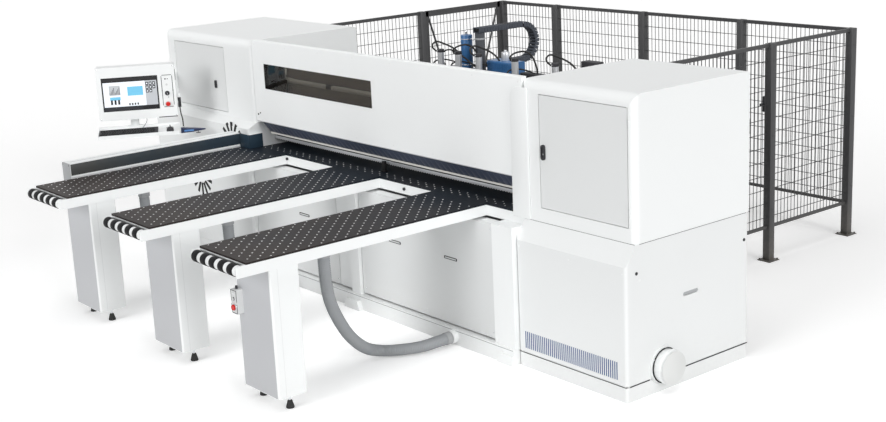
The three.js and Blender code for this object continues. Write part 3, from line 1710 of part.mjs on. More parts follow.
// Whatever lies on the keyboard tray is tilted with it about its front lower edge
const trayTilt = THREE.MathUtils.degToRad(trayTiltDegrees);
const onTray = new THREE.Matrix4().makeTranslation(0, -trayFront, trayBottom)
  .multiply(new THREE.Matrix4().makeRotationX(trayTilt))
  .multiply(new THREE.Matrix4().makeTranslation(0, trayFront, -trayBottom));
const trayFloor = (y) => trayBottom + (y + trayFront) * Math.tan(trayTilt);
const bridgeBottom = trayFloor(-trayBack);

// Housing, neck, keyboard tray and gun hook, in the console's own turned frame
function consoleHousing() {
  const wall = housingWall;
  const gap = runGap;
  const y0 = -housingFront;
  const y1 = housingDepth - housingFront;
  const r = housingRadius;
  const shell = cut(
    alongY(roundRect(-housingLeft, housingRight, housingBottom, housingTop, r, r, r, r), y0, y1, 4),
    block(
      wall - housingLeft, housingRight - wall, y0 + wall, y1 - wall, housingBottom + wall,
      housingTop - wall));
  const screenHole = block(
    -screenLeft - gap, screenRight + gap, y0 - overrun, y0 + wall + overrun, screenBottom - gap,
    screenTop + gap);
  const collar = barY(keyCollar, y0 - keyCollarProud, y0 + overrun, switchX, keySwitchZ, 18);
  const bores = [
    barY(stopStemRadius + buttonBoreGap, y0 - overrun, y0 + wall + overrun, switchX, consoleStopZ),
    barY(keySwitchRadius + buttonBoreGap, y0 - keyCollar, y0 + wall + overrun, switchX, keySwitchZ),
  ];
  const neck = join(
    barZ(neckFlangeRadius, bridgeBottom - neckFlangeHeight, bridgeBottom + overrun, 0, 0, 20),
    barZ(neckRadius, bridgeBottom, housingBottom + neckEntry, 0, 0, 18));
  const pieces = [
    cut(join(shell, collar), screenHole, ...bores), neck, consoleHub(), keyboardTray(), gunHook(),
    airGrip()];
  return part("console_housing", join(...pieces), paint(0xdfe1e0, 0.45, 0.1));
}

function keyboardTray() {
  const wall = trayThickness;
  const high = trayBottom + wall + trayLip;
  const tray = cut(
    block(-trayLeft, trayRight, -trayFront, -trayBack, trayBottom, high),
    block(
      wall - trayLeft, trayRight - wall, wall - trayFront, -trayBack - wall, trayBottom + wall,
      high + overrun));
  const bridge = block(
    -trayBridgeWidth / 2, trayBridgeWidth / 2, -trayBack - wall, 0, bridgeBottom,
    bridgeBottom + trayBridgeHeight);
  return join(toGeometry(tray).applyMatrix4(onTray), bridge);
}

const hookTop = trayBottom - hookDrop + hookThickness;

function gunHook() {
  const x0 = trayRight - hookInset;
  const y0 = -gunY - hookWidth / 2;
  const y1 = -gunY + hookWidth / 2;
  return join(
    block(
      x0, x0 + hookThickness / 2, y0, y1, hookTop - hookThickness, trayFloor(-gunY) + trayThickness / 2),
    block(x0, trayRight + hookReach, y0, y1, hookTop - hookThickness, hookTop));
}

// Upright grip of the air line, clipped to the side of the housing
const airGripX = housingRight + airGripGap + airGripRadius;

function airGrip() {
  const clip = block(
    housingRight - overrun, airGripX, -airGripY - airGripRadius / 2, airGripRadius / 2 - airGripY,
    airGripBottom + airGripLength / 3, airGripBottom + airGripLength / 2);
  const grip = barZ(
    airGripRadius, airGripBottom, airGripBottom + airGripLength, airGripX, -airGripY, 12);
  return join(clip, grip);
}

// Screen set in the front of the housing
function consoleScreen() {
  const front = screenRebate - housingFront;
  const panel = block(
    -screenLeft, screenRight, front, front + screenThickness, screenBottom, screenTop);
  return part("console_screen", panel, paint(0x20242a, 0.2, 0));
}

// Keyboard with rows of raised keys
function keyboard() {
  const z0 = trayBottom + trayThickness + runGap;
  const x0 = -keyboardLeft;
  const y1 = -keyboardBack;
  const body = block(x0, x0 + keyboardWidth, y1 - keyboardDepth, y1, z0, z0 + keyboardHeight - keyRise);
  const pitchX = keyboardWidth / (keyboardColumnCount + 1);
  const pitchY = keyboardDepth / (keyboardRowCount + 1);
  const keys = [];
  for (let row = 0; row < keyboardRowCount; row += 1) {
    for (let column = 0; column < keyboardColumnCount; column += 1) {
      const x = x0 + pitchX * (column + 0.6);
      const y = y1 - keyboardDepth + pitchY * (row + 0.6);
      const top = z0 + keyboardHeight;
      keys.push(block(x, x + pitchX * 0.8, y, y + pitchY * 0.8, top - 2 * keyRise, top));
    }
  }
  return part("keyboard", toGeometry(join(body, ...keys)).applyMatrix4(onTray), blackPlastic());
}

function keyboardCord() {
  const z = trayBottom + trayThickness + runGap + keyboardHeight / 2;
  const start = new THREE.Vector3(cordX, runGap - keyboardBack, z);
  const end = new THREE.Vector3(cordSlotX, -cordSlotY, housingBottom - runGap);
  const route = new THREE.CatmullRomCurve3([
    start.clone().applyMatrix4(onTray),
    start.clone().add(new THREE.Vector3(0, 2 * cordRadius, 0)).applyMatrix4(onTray),
    new THREE.Vector3(66, -128, 1168),
    new THREE.Vector3(82, -92, 1184),
    new THREE.Vector3(98, -64, 1208),
    end.clone().add(new THREE.Vector3(0, 0, -2 * cordRadius)),
    end,
  ]);
  return part("keyboard_cord", roundCord(route, cordRadius, 12), blackPlastic());
}

// A plain cord: an eight-sided section drawn along its route
function roundCord(route, radius, steps) {
  const section = new THREE.Shape();
  for (let k = 0; k < 8; k += 1) {
    const turn = (Math.PI * (k + 0.5)) / 4;
    section[k === 0 ? "moveTo" : "lineTo"](radius * Math.cos(turn), radius * Math.sin(turn));
  }
  return new THREE.ExtrudeGeometry(section, { steps, extrudePath: route, bevelEnabled: false });
}

function mouse() {
  const low = trayBottom + trayThickness + runGap;
  const dome = new THREE.SphereGeometry(1, 12, 8).scale(mouseWidth / 2, mouseLength / 2, mouseHeight);
  const half = mouseLength;
  const shape = meet(dome, block(-half, half, -half, half, 0, half));
  const mesh = part("mouse", shape, blackPlastic());
  mesh.position.set(mouseX, -mouseY, low).applyMatrix4(onTray);
  mesh.rotation.x = trayTilt;
  return mesh;
}

// Key switch: a round barrel with the bow of its key
function keySwitch() {
  const barrel = barY(keySwitchRadius, -keySwitchProud, housingWall, 0, 0, 16);
  const bow = block(
    -keyBowThickness / 2, keyBowThickness / 2, -keySwitchProud - keyBowLength,
    overrun - keySwitchProud, -keyBowWidth / 2, keyBowWidth / 2);
  const mesh = part("key_switch", join(barrel, bow), steel());
  mesh.position.set(switchX, -housingFront, keySwitchZ);
  return mesh;
}

// Blow gun on its hook, with an inlet on top of its rear end
const gunX = trayRight + gunStart;
const gunZ = hookTop + runGap + gunRadius;

function blowGun() {
  const profile = [
    [0, 0],
    [gunRadius, 0],
    [gunRadius, gunLength / 2],
    [gunTipRadius, gunLength],
    [0, gunLength],
  ];
  const body = turned(profile, 14).rotateY(Math.PI / 2).translate(gunX, -gunY, gunZ);
  const inlet = barZ(
    gunInletRadius, gunZ, gunZ + gunRadius + gunInletHeight, gunX + gunInletX, -gunY, 12);
  const bore = barZ(
    triggerStemRadius + triggerStemGap, gunZ - gunRadius, gunZ, gunX + triggerX, -gunY, 10);
  return part("blow_gun", cut(join(body, inlet), bore), bluePaint());
}

function gunTrigger() {
  const top = gunZ - gunRadius - triggerDrop;
  const lever = block(
    gunX + triggerX - triggerLength / 2, gunX + triggerX + triggerLength / 2,
    -gunY - triggerWidth / 2, triggerWidth / 2 - gunY, top - triggerThickness, top);
  const stem = barZ(triggerStemRadius, top - overrun, gunZ - triggerDrop, gunX + triggerX, -gunY, 10);
  return part("gun_trigger", join(lever, stem), blackPlastic());
}

function airHose() {
  const start = new THREE.Vector3(airGripX, -airGripY, airGripBottom - runGap);
  const inletTop = gunZ + gunRadius + gunInletHeight + runGap;
  const end = new THREE.Vector3(gunX + gunInletX, -gunY, inletTop);
  const drop = new THREE.Vector3(0, 0, 2 * airHoseRadius);
  const route = new THREE.CatmullRomCurve3([
    start,
    start.clone().sub(drop),
    new THREE.Vector3(376, -52, 1250),
    new THREE.Vector3(386, -86, 1205),
    end.clone().add(drop),
    end,
  ]);
  return part("air_hose", roundCord(route, airHoseRadius, 12), blackRubber());
}

// Safety fence
const fenceRightX = -guardRightX;
const fenceLeftX = leftOuter + guardLeftInset;
const gatePostY = guardRearY - gateWidth - guardPost;

function fencePost(x, y) {
  const half = guardPost / 2;
  const base = guardBase / 2;
  return join(
    block(x - half, x + half, y - half, y + half, 0, guardPostHeight),
    block(x - base, x + base, y - base, y + base, 0, guardBaseHeight));
}

// A mesh panel along X between two faces, centred on y = 0
function meshPanel(x0, x1, low, high, topRail, stile) {
  const half = guardRailThickness / 2;
  const thin = guardMeshThickness / 2;
  const bar = guardMeshBar / 2;
  const pieces = [
    block(x0, x1, -half, half, high - topRail, high),
    block(x0, x1, -half, half, low, low + guardBottomRail),
  ];
  if (stile > 0) {
    pieces.push(block(x0, x0 + stile, -half, half, low, high));
    pieces.push(block(x1 - stile, x1, -half, half, low, high));
  }
  for (let i = 1; i < guardMeshColumnCount; i += 1) {
    const x = x0 + ((x1 - x0) * i) / guardMeshColumnCount;
    pieces.push(block(x - bar, x + bar, -thin, thin, low + overrun, high - overrun));
  }
  for (let i = 1; i < guardMeshRowCount; i += 1) {
    const z = low + ((high - low) * i) / guardMeshRowCount;
    pieces.push(block(x0, x1, -thin, thin, z - bar, z + bar));
  }
  return join(...pieces);
}

function meshAlongX(x0, x1, y) {
  const shape = meshPanel(x0, x1, guardPanelBottom, guardPostHeight, guardTopRail, 0);
  return shape.translate([0, y, 0]);
}

function meshAlongY(y0, y1, x) {
  const shape = meshPanel(y0, y1, guardPanelBottom, guardPostHeight, guardTopRail, 0);
  return shape.rotate([0, 0, 90]).translate([x, 0, 0]);
}

function interlock() {
  const half = guardPost / 2;
  const x = fenceRightX - half;
  return block(
    x - interlockWidth, x + overrun, guardMidY - interlockWidth / 2, guardMidY + interlockWidth / 2,
    interlockZ - interlockHeight / 2, interlockZ + interlockHeight / 2);
}

// Tie from the first post of a run to the back of the tower that it closes off
function fenceTie(x, low, high) {
  const half = guardTieWidth / 2;
  return block(x - half, x + half, towerDepth + runGap, guardFirstY, low, high);
}

// Short return of the right run to the back of the right tower
function fenceReturn() {
  const x1 = guardReturn;
  const half = guardRailThickness / 2;
  const bottom = guardPanelBottom + guardBottomRail;
  const top = guardPostHeight - guardTopRail;
  const rail = (low, high) =>
    block(fenceRightX, x1, guardFirstY - half, guardFirstY + half, low, high);
  const tieX = x1 - guardTieWidth / 2;
  const stile = block(
    x1 - guardTieWidth, x1, guardFirstY - half, guardFirstY + half, guardPanelBottom, guardPostHeight);
  return join(
    rail(guardPanelBottom, bottom), rail(top, guardPostHeight), stile,
    fenceTie(tieX, guardPanelBottom, bottom), fenceTie(tieX, top, guardPostHeight));
}

function safetyFence() {
  const rearPosts = [
    fenceRightX,
    ...guardRearShares.map((share) => fenceRightX + (fenceLeftX - fenceRightX) * share),
    fenceLeftX,
  ];
  const pieces = rearPosts.map((x) => fencePost(x, guardRearY));
  for (let i = 0; i < rearPosts.length - 1; i += 1) {
    pieces.push(meshAlongX(rearPosts[i + 1], rearPosts[i], guardRearY));
  }
  pieces.push(fencePost(fenceRightX, guardFirstY), fencePost(fenceRightX, guardMidY));
  pieces.push(meshAlongY(guardFirstY, guardMidY, fenceRightX));
  pieces.push(meshAlongY(guardMidY, guardRearY, fenceRightX), interlock(), fenceReturn());
  return part("safety_fence", join(...pieces), darkPaint());
}

function sideFence() {
  const pieces = [
    fencePost(fenceLeftX, guardFirstY),
    fencePost(fenceLeftX, gatePostY),
    meshAlongY(guardFirstY, gatePostY, fenceLeftX),
    fenceTie(fenceLeftX, guardPanelBottom, guardPanelBottom + guardBottomRail),
    fenceTie(fenceLeftX, guardPostHeight - guardTopRail, guardPostHeight),
  ];
  return part("side_fence", join(...pieces), darkPaint());
}

// Gate with stiles, a deep top rail and two braces that meet at the foot
function safetyGate() {
  const y0 = gatePostY + guardPost / 2 + gateGap;
  const y1 = guardRearY - guardPost / 2 - gateGap;
  const length = y1 - y0;
  const low = guardPanelBottom;
  const high = guardPostHeight;
  const leaf = meshPanel(0, length, low, high, gateTopRail, gateStile);
  const thin = guardMeshThickness;
  const brace = (a, b) => {
    const w = gateBraceWidth;
    return alongY(
      outline([[a - w, high - gateTopRail], [a + w, high - gateTopRail], [b + w, low], [b - w, low]]),
      -thin, thin);
  };
  const hinge = gateHingeRadius + runGap - gateGap;
  const knuckle = (z) => barZ(gateHingeRadius, z, z + gateHingeLength, hinge, 0, 12);
  const rise = high - low;
  const thick = guardRailThickness / 2;
  const bolt = block(
    length - overrun, length + gateGap - runGap, -thick, thick, gateBoltZ - gateBoltHeight / 2,
    gateBoltZ + gateBoltHeight / 2);
  const shape = join(
    leaf, brace(gateStile, length / 2), brace(length - gateStile, length / 2),
    knuckle(low + rise / 6), knuckle(high - rise / 4), bolt);
  const mesh = part("safety_gate", toGeometry(shape).rotateZ(Math.PI / 2), darkPaint());
  mesh.position.set(fenceLeftX, y0, 0);
  return mesh;
}

// The whole machine, with its origin under the middle of its outline
function machineOffset() {
  const right = rightTowerWidth + portFlangeThickness + portNeckLength + 2 * portCapRise
    + portFlangeThickness / 2;
  const left = leftOuter - leftCabinetExtra;
  const front = rollerY - rollerRadius;
  const back = guardRearY + guardBase / 2;
  return new THREE.Vector3(-(left + right) / 2, -(front + back) / 2, 0);
}

function consoleGroup() {
  const group = new THREE.Group();
  group.position.set(consoleX, -consoleY, 0);
  group.rotation.z = consoleTurn;
  const stop = stopButton("console_stop");
  stop.position.set(switchX, -housingFront, consoleStopZ);
  group.add(
    consoleHousing(), consoleScreen(), keyboard(), keyboardCord(), mouse(), stop, keySwitch(),
    blowGun(), gunTrigger(), airHose());
  return group;
}

function legControls() {
  const stop = stopButton("leg_stop");
  stop.position.set(buttonBoxX, buttonBoxFront, buttonStopZ);
  const press = pressButton("leg_button");
  press.position.set(buttonBoxX, buttonBoxFront, buttonPressZ);
  return [buttonBox(), stop, press];
}

function doors() {
  const rightLatchZ = (rightDoor.z0 + rightDoor.z1) / 2;
  const leftLatchZ = (leftDoor.z0 + leftDoor.z1) / 2 - leftLatchDrop;
  return [
    doorPanel("right_door", rightDoor, 1),
    doorLatch("right_latch", rightDoor.x0 + latchEdge, rightLatchZ, latchWidth, latchHeight),
    doorPanel("left_door", leftDoor, -1),
    doorLatch(
      "left_latch", leftDoor.x1 - leftLatchInset, leftLatchZ, leftLatchWidth, leftLatchHeight),
  ];
}

const machine = new THREE.Group();
machine.name = "beam_saw";
machine.position.copy(machineOffset());
machine.add(
  bedFrame(), ...bedPanels(), rightCabinet(), rightTower(), leftCabinet(), leftTower(),
  beamGuard(), guardWindow(), beamGirder(), pressureBeam(), frontTable(), rearTable(), ...doors());
machine.add(
  sawCarriage(), sawHead(),
  sawBlade(
    "main_blade", mainBladeRadius, mainBladeToothCount, mainBladeTooth, flangeRadius, mainBladeX,
    mainBladeZ),
  sawBlade(
    "scoring_blade", scoreBladeRadius, scoreBladeToothCount, scoreBladeTooth, scoreFlangeRadius,
    scoreBladeX, scoreBladeZ));
machine.add(pusherCarriage(), ...gripperX().map((x, i) => gripperJaw(i, x)), pusherDrive(), cableChain());
armNames.forEach((name, index) => {
  machine.add(armBody(index), armTop(index), frontRoller(index), armLeg(index));
});
machine.add(squaringFence(), ...legControls(), extractionHose(), consoleColumn(), consoleGroup());
machine.add(safetyFence(), sideFence(), safetyGate());

export default machine;
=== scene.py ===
import math

import bpy
from bpy.props import FloatProperty, FloatVectorProperty, IntProperty, PointerProperty
from mathutils import Matrix, Vector


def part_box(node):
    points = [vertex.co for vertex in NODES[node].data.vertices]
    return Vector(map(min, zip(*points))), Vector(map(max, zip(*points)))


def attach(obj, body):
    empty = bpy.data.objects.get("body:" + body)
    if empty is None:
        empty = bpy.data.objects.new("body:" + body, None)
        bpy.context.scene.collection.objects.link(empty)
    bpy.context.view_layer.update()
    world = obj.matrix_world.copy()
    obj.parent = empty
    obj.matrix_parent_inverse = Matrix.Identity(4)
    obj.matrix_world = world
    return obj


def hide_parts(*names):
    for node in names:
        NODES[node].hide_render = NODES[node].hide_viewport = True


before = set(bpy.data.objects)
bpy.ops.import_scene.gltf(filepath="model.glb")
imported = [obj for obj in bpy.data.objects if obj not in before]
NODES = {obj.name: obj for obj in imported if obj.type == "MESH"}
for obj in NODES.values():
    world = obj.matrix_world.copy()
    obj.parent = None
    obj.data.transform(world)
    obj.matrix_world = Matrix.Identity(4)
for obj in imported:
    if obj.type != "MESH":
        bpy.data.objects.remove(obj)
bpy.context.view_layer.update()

bl_info = {
    "name": "Beam saw",
    "version": (1, 0, 0),
    "blender": (4, 5, 0),
    "location": "View3D > Sidebar > Beam saw",
    "description": "Dresses a panel beam saw with its finishes, fittings, hoses and fence",
    "category": "Object",
}

TOWER_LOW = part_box("right_tower")[0]
TABLE_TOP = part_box("front_table")[1].z
CONSOLE_PLACE = (-4.03, -0.62, 0)
CONSOLE_TURN = Matrix.Rotation(math.radians(60), 4, "Z")
SIDES = ("right", "middle", "left")
GRIPPERS = (-2.79, -2.56, -2.3, -1.86, -1.4)


def at(x, y, z):
    """A place counted from the right tower's inner face, the towers' front and the floor."""
    return Vector((TOWER_LOW.x + x, TOWER_LOW.y + y, z))


def console(x, y, z):
    """A place in the console's own turned frame."""
    return at(*CONSOLE_PLACE) + CONSOLE_TURN @ Vector((x, y, z))


# Colours and sizes that a user would change

class SawColours(bpy.types.PropertyGroup):
    """Colours of the finishes"""

    white: FloatVectorProperty(
        name="White", description="Powder coat of the housings", subtype="COLOR", size=3,
        default=(0.87, 0.885, 0.885), min=0, max=1)
    girder: FloatVectorProperty(
        name="Girder", description="Primer grey of the beam and tables behind the guard",
        subtype="COLOR", size=3, default=(0.42, 0.42, 0.4), min=0, max=1)
    fence: FloatVectorProperty(
        name="Fence", description="Dark grey of the safety fence", subtype="COLOR", size=3,
        default=(0.042, 0.042, 0.044), min=0, max=1)
    board: FloatVectorProperty(
        name="Board", description="Dark laminate of the tables", subtype="COLOR", size=3,
        default=(0.011, 0.012, 0.0155), min=0, max=1)
    blue: FloatVectorProperty(
        name="Blue", description="Motors and valves", subtype="COLOR", size=3,
        default=(0.03, 0.13, 0.32), min=0, max=1)
    hose: FloatVectorProperty(
        name="Hose", description="Grey of the extraction hose", subtype="COLOR", size=3,
        default=(0.055, 0.056, 0.057), min=0, max=1)


class SawSizes(bpy.types.PropertyGroup):
    """Sizes of the fittings"""

    wire_pitch: FloatProperty(
        name="Wire pitch", description="Distance between upright wires of the fence",
        default=0.043, min=0.02, max=0.1, unit="LENGTH")
    wire_rise: FloatProperty(
        name="Wire rise", description="Distance between level wires of the fence",
        default=0.1115, min=0.05, max=0.3, unit="LENGTH")
    wire_radius: FloatProperty(
        name="Wire radius", description="Radius of the fence wires", default=0.003, min=0.001,
        max=0.006, unit="LENGTH")
    jet_pitch: FloatProperty(
        name="Jet pitch", description="Distance between the air jets of the tables",
        default=0.0445, min=0.03, max=0.2, unit="LENGTH")
    jet_radius: FloatProperty(
        name="Jet radius", description="Radius of an air jet", default=0.0054, min=0.002,
        max=0.01, unit="LENGTH")
    flap_count: IntProperty(
        name="Flaps", description="Flaps of the curtain in front of the beam", default=52, min=8,
        max=200)


def colours():
    return bpy.context.scene.saw_colours


def sizes():
    return bpy.context.scene.saw_sizes


# Modelling helpers

def deselect():
    if bpy.context.object and bpy.context.object.mode != "OBJECT":
        bpy.ops.object.mode_set(mode="OBJECT")
    bpy.ops.object.select_all(action="DESELECT")


def only(piece):
    deselect()
    piece.select_set(True)
    bpy.context.view_layer.objects.active = piece
    return piece


def clear_choice(piece):
    """Takes one piece in hand, with nothing of its mesh selected."""
    only(piece)
    bpy.ops.object.mode_set(mode="EDIT")
    bpy.ops.mesh.select_all(action="DESELECT")
    bpy.ops.object.mode_set(mode="OBJECT")


def set_down(piece):
    """Moves an object's place, turn and scale into its mesh."""
    only(piece)
    bpy.ops.object.transform_apply(location=True, rotation=True, scale=True)
    return piece


def apply_modifiers(piece):
    only(piece)
    for modifier in list(piece.modifiers):
        bpy.ops.object.modifier_apply(modifier=modifier.name)
    return piece


def bevelled(piece, width, segments=2, angle=0.6):
    modifier = piece.modifiers.new("Edge", "BEVEL")
    modifier.width = width
    modifier.segments = segments
    modifier.limit_method = "ANGLE"
    modifier.angle_limit = angle
    modifier.harden_normals = False
    return apply_modifiers(piece)


def slab(low, high, edge=0.0, segments=2):
    """A box between two corners."""
    low, high = Vector(low), Vector(high)
    deselect()
    bpy.ops.mesh.primitive_cube_add(size=1, location=(low + high) / 2)
    piece = bpy.context.object
    piece.scale = high - low
    set_down(piece)
    return bevelled(piece, edge, segments) if edge > 0 else piece


def rod(start, end, radius, sides=16, edge=0.0, tip=None):
    """A round bar between two places, or a cone where the radius of its tip is given."""
    start, end = Vector(start), Vector(end)
    along = end - start
    turn = along.to_track_quat("Z", "Y").to_euler()
    deselect()
    bpy.ops.mesh.primitive_cone_add(
        vertices=sides, radius1=radius, radius2=radius if tip is None else tip, depth=along.length,
        location=(start + end) / 2, rotation=turn)
    piece = set_down(bpy.context.object)
    return bevelled(piece, edge, 2, 0.9) if edge > 0 else piece


def pegs(spots, along, radius, sides=16, edge=0.0, tip=None):
    """Equal rods of one length and direction, from places on the machine."""
    return [rod(at(*spot), at(*spot) + Vector(along), radius, sides, edge, tip) for spot in spots]


def ring(centre, axis, radius, thickness, sides=24, section=8):
    deselect()
    bpy.ops.mesh.primitive_torus_add(
        major_radius=radius, minor_radius=thickness, major_segments=sides, minor_segments=section,
        location=centre, rotation=Vector(axis).to_track_quat("Z", "Y").to_euler())
    return set_down(bpy.context.object)


def dome(centre, radius, squash, rings, sides):
    deselect()
    bpy.ops.mesh.primitive_uv_sphere_add(segments=sides, ring_count=rings, radius=radius, location=centre)
    piece = bpy.context.object
    piece.scale = squash
    return set_down(piece)


def copied(piece, shift):
    """A second piece with a mesh of its own, shifted."""
    twin = piece.copy()
    twin.data = piece.data.copy()
    bpy.context.collection.objects.link(twin)
    twin.data.transform(Matrix.Translation(Vector(shift)))
    return twin


def joined(name, pieces):
    """One piece of several, under a name."""
    deselect()
    for piece in pieces:
        piece.select_set(True)
    bpy.context.view_layer.objects.active = pieces[0]
    if len(pieces) > 1:
        bpy.ops.object.join()
    whole = bpy.context.object
    whole.name = name
    whole.data.name = name
    return whole


def row_of(piece, count, step):
    row = piece.modifiers.new("Row", "ARRAY")
    row.count = count
    row.use_relative_offset = False
    row.use_constant_offset = True
    row.constant_offset_displace = step
    return row


def arrayed(piece, count, step):
    """A row of a piece, in its own mesh."""
    row_of(piece, count, step)
    return apply_modifiers(piece)


def curve_through(name, points, resolution=12):
    """A smooth curve through the points."""
    data = bpy.data.curves.new(name, "CURVE")
    data.dimensions = "3D"
    data.resolution_u = resolution
    line = data.splines.new("BEZIER")
    line.bezier_points.add(len(points) - 1)
    for knot, spot in zip(line.bezier_points, points):
        knot.co = spot
        knot.handle_left_type = knot.handle_right_type = "AUTO"
    curve = bpy.data.objects.new(name, data)
    bpy.context.collection.objects.link(curve)
    return curve


def tube(name, points, radius, sides=8, smooth=6):
    """A round tube along a smooth line through the points."""
    curve = curve_through(name, points, smooth)
    curve.data.bevel_depth = radius
    curve.data.bevel_resolution = max(0, sides // 4 - 1)
    curve.data.use_fill_caps = True
    only(curve)
    bpy.ops.object.convert(target="MESH")
    piece = bpy.context.object
    piece.name = name
    return piece


def finished(name, parts, finish, slot=None, body="machine", angle=0.6):
    """Joins the parts under a name and gives them a finish and a body to ride on."""
    piece = joined(name, parts if isinstance(parts, list) else [parts])
    slot = slot or SLOTS[finish]
    piece.data.materials.clear()
    piece.data.materials.append(bpy.data.materials[finish])
    only(piece)
    bpy.ops.object.shade_smooth_by_angle(angle=angle)
    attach(piece, body)
    return piece


# Shader helpers

def group_of(name, inputs, outputs, build):
    """A shader node group with named inputs and outputs."""
    tree = bpy.data.node_groups.new(name, "ShaderNodeTree")
    for label, kind, value in inputs:
        socket = tree.interface.new_socket(name=label, in_out="INPUT", socket_type=kind)
        socket.default_value = value
    for label, kind in outputs:
        tree.interface.new_socket(name=label, in_out="OUTPUT", socket_type=kind)
    build(tree, tree.nodes.new("NodeGroupInput"), tree.nodes.new("NodeGroupOutput"))
    return tree


def feed(tree, socket, value):
    """Links a socket where the value is one, or sets it."""
    if isinstance(value, bpy.types.NodeSocket):
        tree.links.new(value, socket)
    elif socket.type == "RGBA":
        socket.default_value = (*value[:3], 1)
    else:
        socket.default_value = value


def fed(tree, node, values):
    """Feeds a node's inputs by name or number."""
    for label, value in values.items():
        feed(tree, node.inputs[label], value)
    return node


def fed_node(tree, kind, values):
    return fed(tree, tree.nodes.new("ShaderNode" + kind), values)


def noise(tree, vector, scale, detail, roughness=0.55):
    return fed_node(tree, "TexNoise", {
        "Vector": vector, "Scale": scale, "Detail": detail, "Roughness": roughness}).outputs["Fac"]


def number(tree, operation, first, second, clamp=False):
    node = fed_node(tree, "Math", {0: first, 1: second})
    node.operation = operation
    node.use_clamp = clamp
    return node.outputs[0]


def mixed(tree, factor, first, second):
    node = tree.nodes.new("ShaderNodeMix")
    node.data_type = "RGBA"
    return fed(tree, node, {0: factor, 6: first, 7: second}).outputs[2]


def place(tree):
    """The object's own coordinates, in metres."""
    return tree.nodes.new("ShaderNodeTexCoord").outputs["Object"]


def build_mottle(tree, inside, outside):
    """Slow and fine change of a colour, and dust towards the floor."""
    given = inside.outputs
    spot = place(tree)
    slow = noise(tree, spot, given["Scale"], 2.0)
    shade = number(tree, "MULTIPLY", number(tree, "SUBTRACT", slow, 0.5), given["Spread"])
    toned = tree.nodes.new("ShaderNodeVectorMath")
    toned.operation = "SCALE"
    fed(tree, toned, {0: given["Colour"], "Scale": number(tree, "ADD", shade, 1.0)})
    height = fed_node(tree, "SeparateXYZ", {0: spot}).outputs["Z"]
    low = fed_node(tree, "MapRange", {
        "Value": height, "From Min": 0.0, "From Max": DUST_HEIGHT, "To Min": 1.0, "To Max": 0.0})
    fine = noise(tree, spot, 38.0, 4.0)
    dust = number(tree, "MULTIPLY", number(tree, "MULTIPLY", low.outputs[0], fine), given["Dust"], True)
    feed(tree, outside.inputs["Colour"], mixed(tree, dust, toned.outputs[0], DUST_COLOUR))
    rough = number(tree, "ADD", given["Roughness"], number(tree, "MULTIPLY", fine, 0.1))
    feed(tree, outside.inputs["Roughness"], number(tree, "SUBTRACT", rough, 0.05, True))


def build_grain(tree, inside, outside):
    """Fine orange peel or grain as a height."""
    spot = place(tree)
    fine = number(tree, "MULTIPLY", noise(tree, spot, inside.outputs["Scale"], 2.0), 0.8)
    wave = number(tree, "MULTIPLY", noise(tree, spot, 9.0, 1.0), 0.6)
    feed(tree, outside.inputs["Height"], number(tree, "ADD", fine, wave))


def build_brushed(tree, inside, outside):
    """Fine parallel lines as a mask and a height."""
    stretch = fed_node(tree, "Mapping", {"Vector": place(tree), "Scale": inside.outputs["Stretch"]})
    lines = noise(tree, stretch.outputs[0], 1.0, 4.0, 0.7)
    feed(tree, outside.inputs["Mask"], lines)
    feed(tree, outside.inputs["Height"], lines)


def build_wear(tree, inside, outside):
    """Scattered small marks as a mask."""
    marks = noise(tree, place(tree), inside.outputs["Scale"], 6.0, 0.75)
    sharp = fed_node(tree, "MapRange", {"Value": marks, "From Min": 0.62, "From Max": 0.7})
    amount = inside.outputs["Amount"]
    feed(tree, outside.inputs["Mask"], number(tree, "MULTIPLY", sharp.outputs[0], amount, True))


GROUPS, SLOTS = {}, {}
DUST_HEIGHT, DUST_COLOUR = 0.35, (0.36, 0.32, 0.26)


def make_groups():
    colour, value, vector = "NodeSocketColor", "NodeSocketFloat", "NodeSocketVector"
    GROUPS["mottle"] = group_of(
        "Mottle",
        [("Colour", colour, (0.8, 0.8, 0.8, 1)), ("Scale", value, 1.5), ("Spread", value, 0.04),
         ("Dust", value, 0.1), ("Roughness", value, 0.4)],
        [("Colour", colour), ("Roughness", value)], build_mottle)
    GROUPS["grain"] = group_of(
        "Grain", [("Scale", value, 400.0)], [("Height", value)], build_grain)
    GROUPS["brushed"] = group_of(
        "Brushed", [("Stretch", vector, (2.0, 400.0, 400.0))],
        [("Mask", value), ("Height", value)], build_brushed)
    GROUPS["wear"] = group_of(
        "Wear", [("Scale", value, 30.0), ("Amount", value, 0.5)], [("Mask", value)], build_wear)


def placed(tree, key, **values):
    """A shader group in a material, with values of its own."""
    node = tree.nodes.new("ShaderNodeGroup")
    node.node_tree = GROUPS[key]
    return fed(tree, node, values)


def new_material(name):
    material = bpy.data.materials.new(name)
    material.use_nodes = True
    tree = material.node_tree
    return material, tree, tree.nodes["Principled BSDF"]


def bumped(tree, shader, height, distance):
    bump = fed_node(tree, "Bump", {"Distance": distance, "Strength": 1.0, "Height": height})
    feed(tree, shader.inputs["Normal"], bump.outputs[0])


def base(name, slot, **mottle):
    """A material whose colour comes from the mottle group, and the slot that it goes by."""
    SLOTS[name] = slot
    _, tree, shader = new_material(name)
    tone = placed(tree, "mottle", **mottle)
    feed(tree, shader.inputs["Base Color"], tone.outputs["Colour"])
    return tree, shader, tone


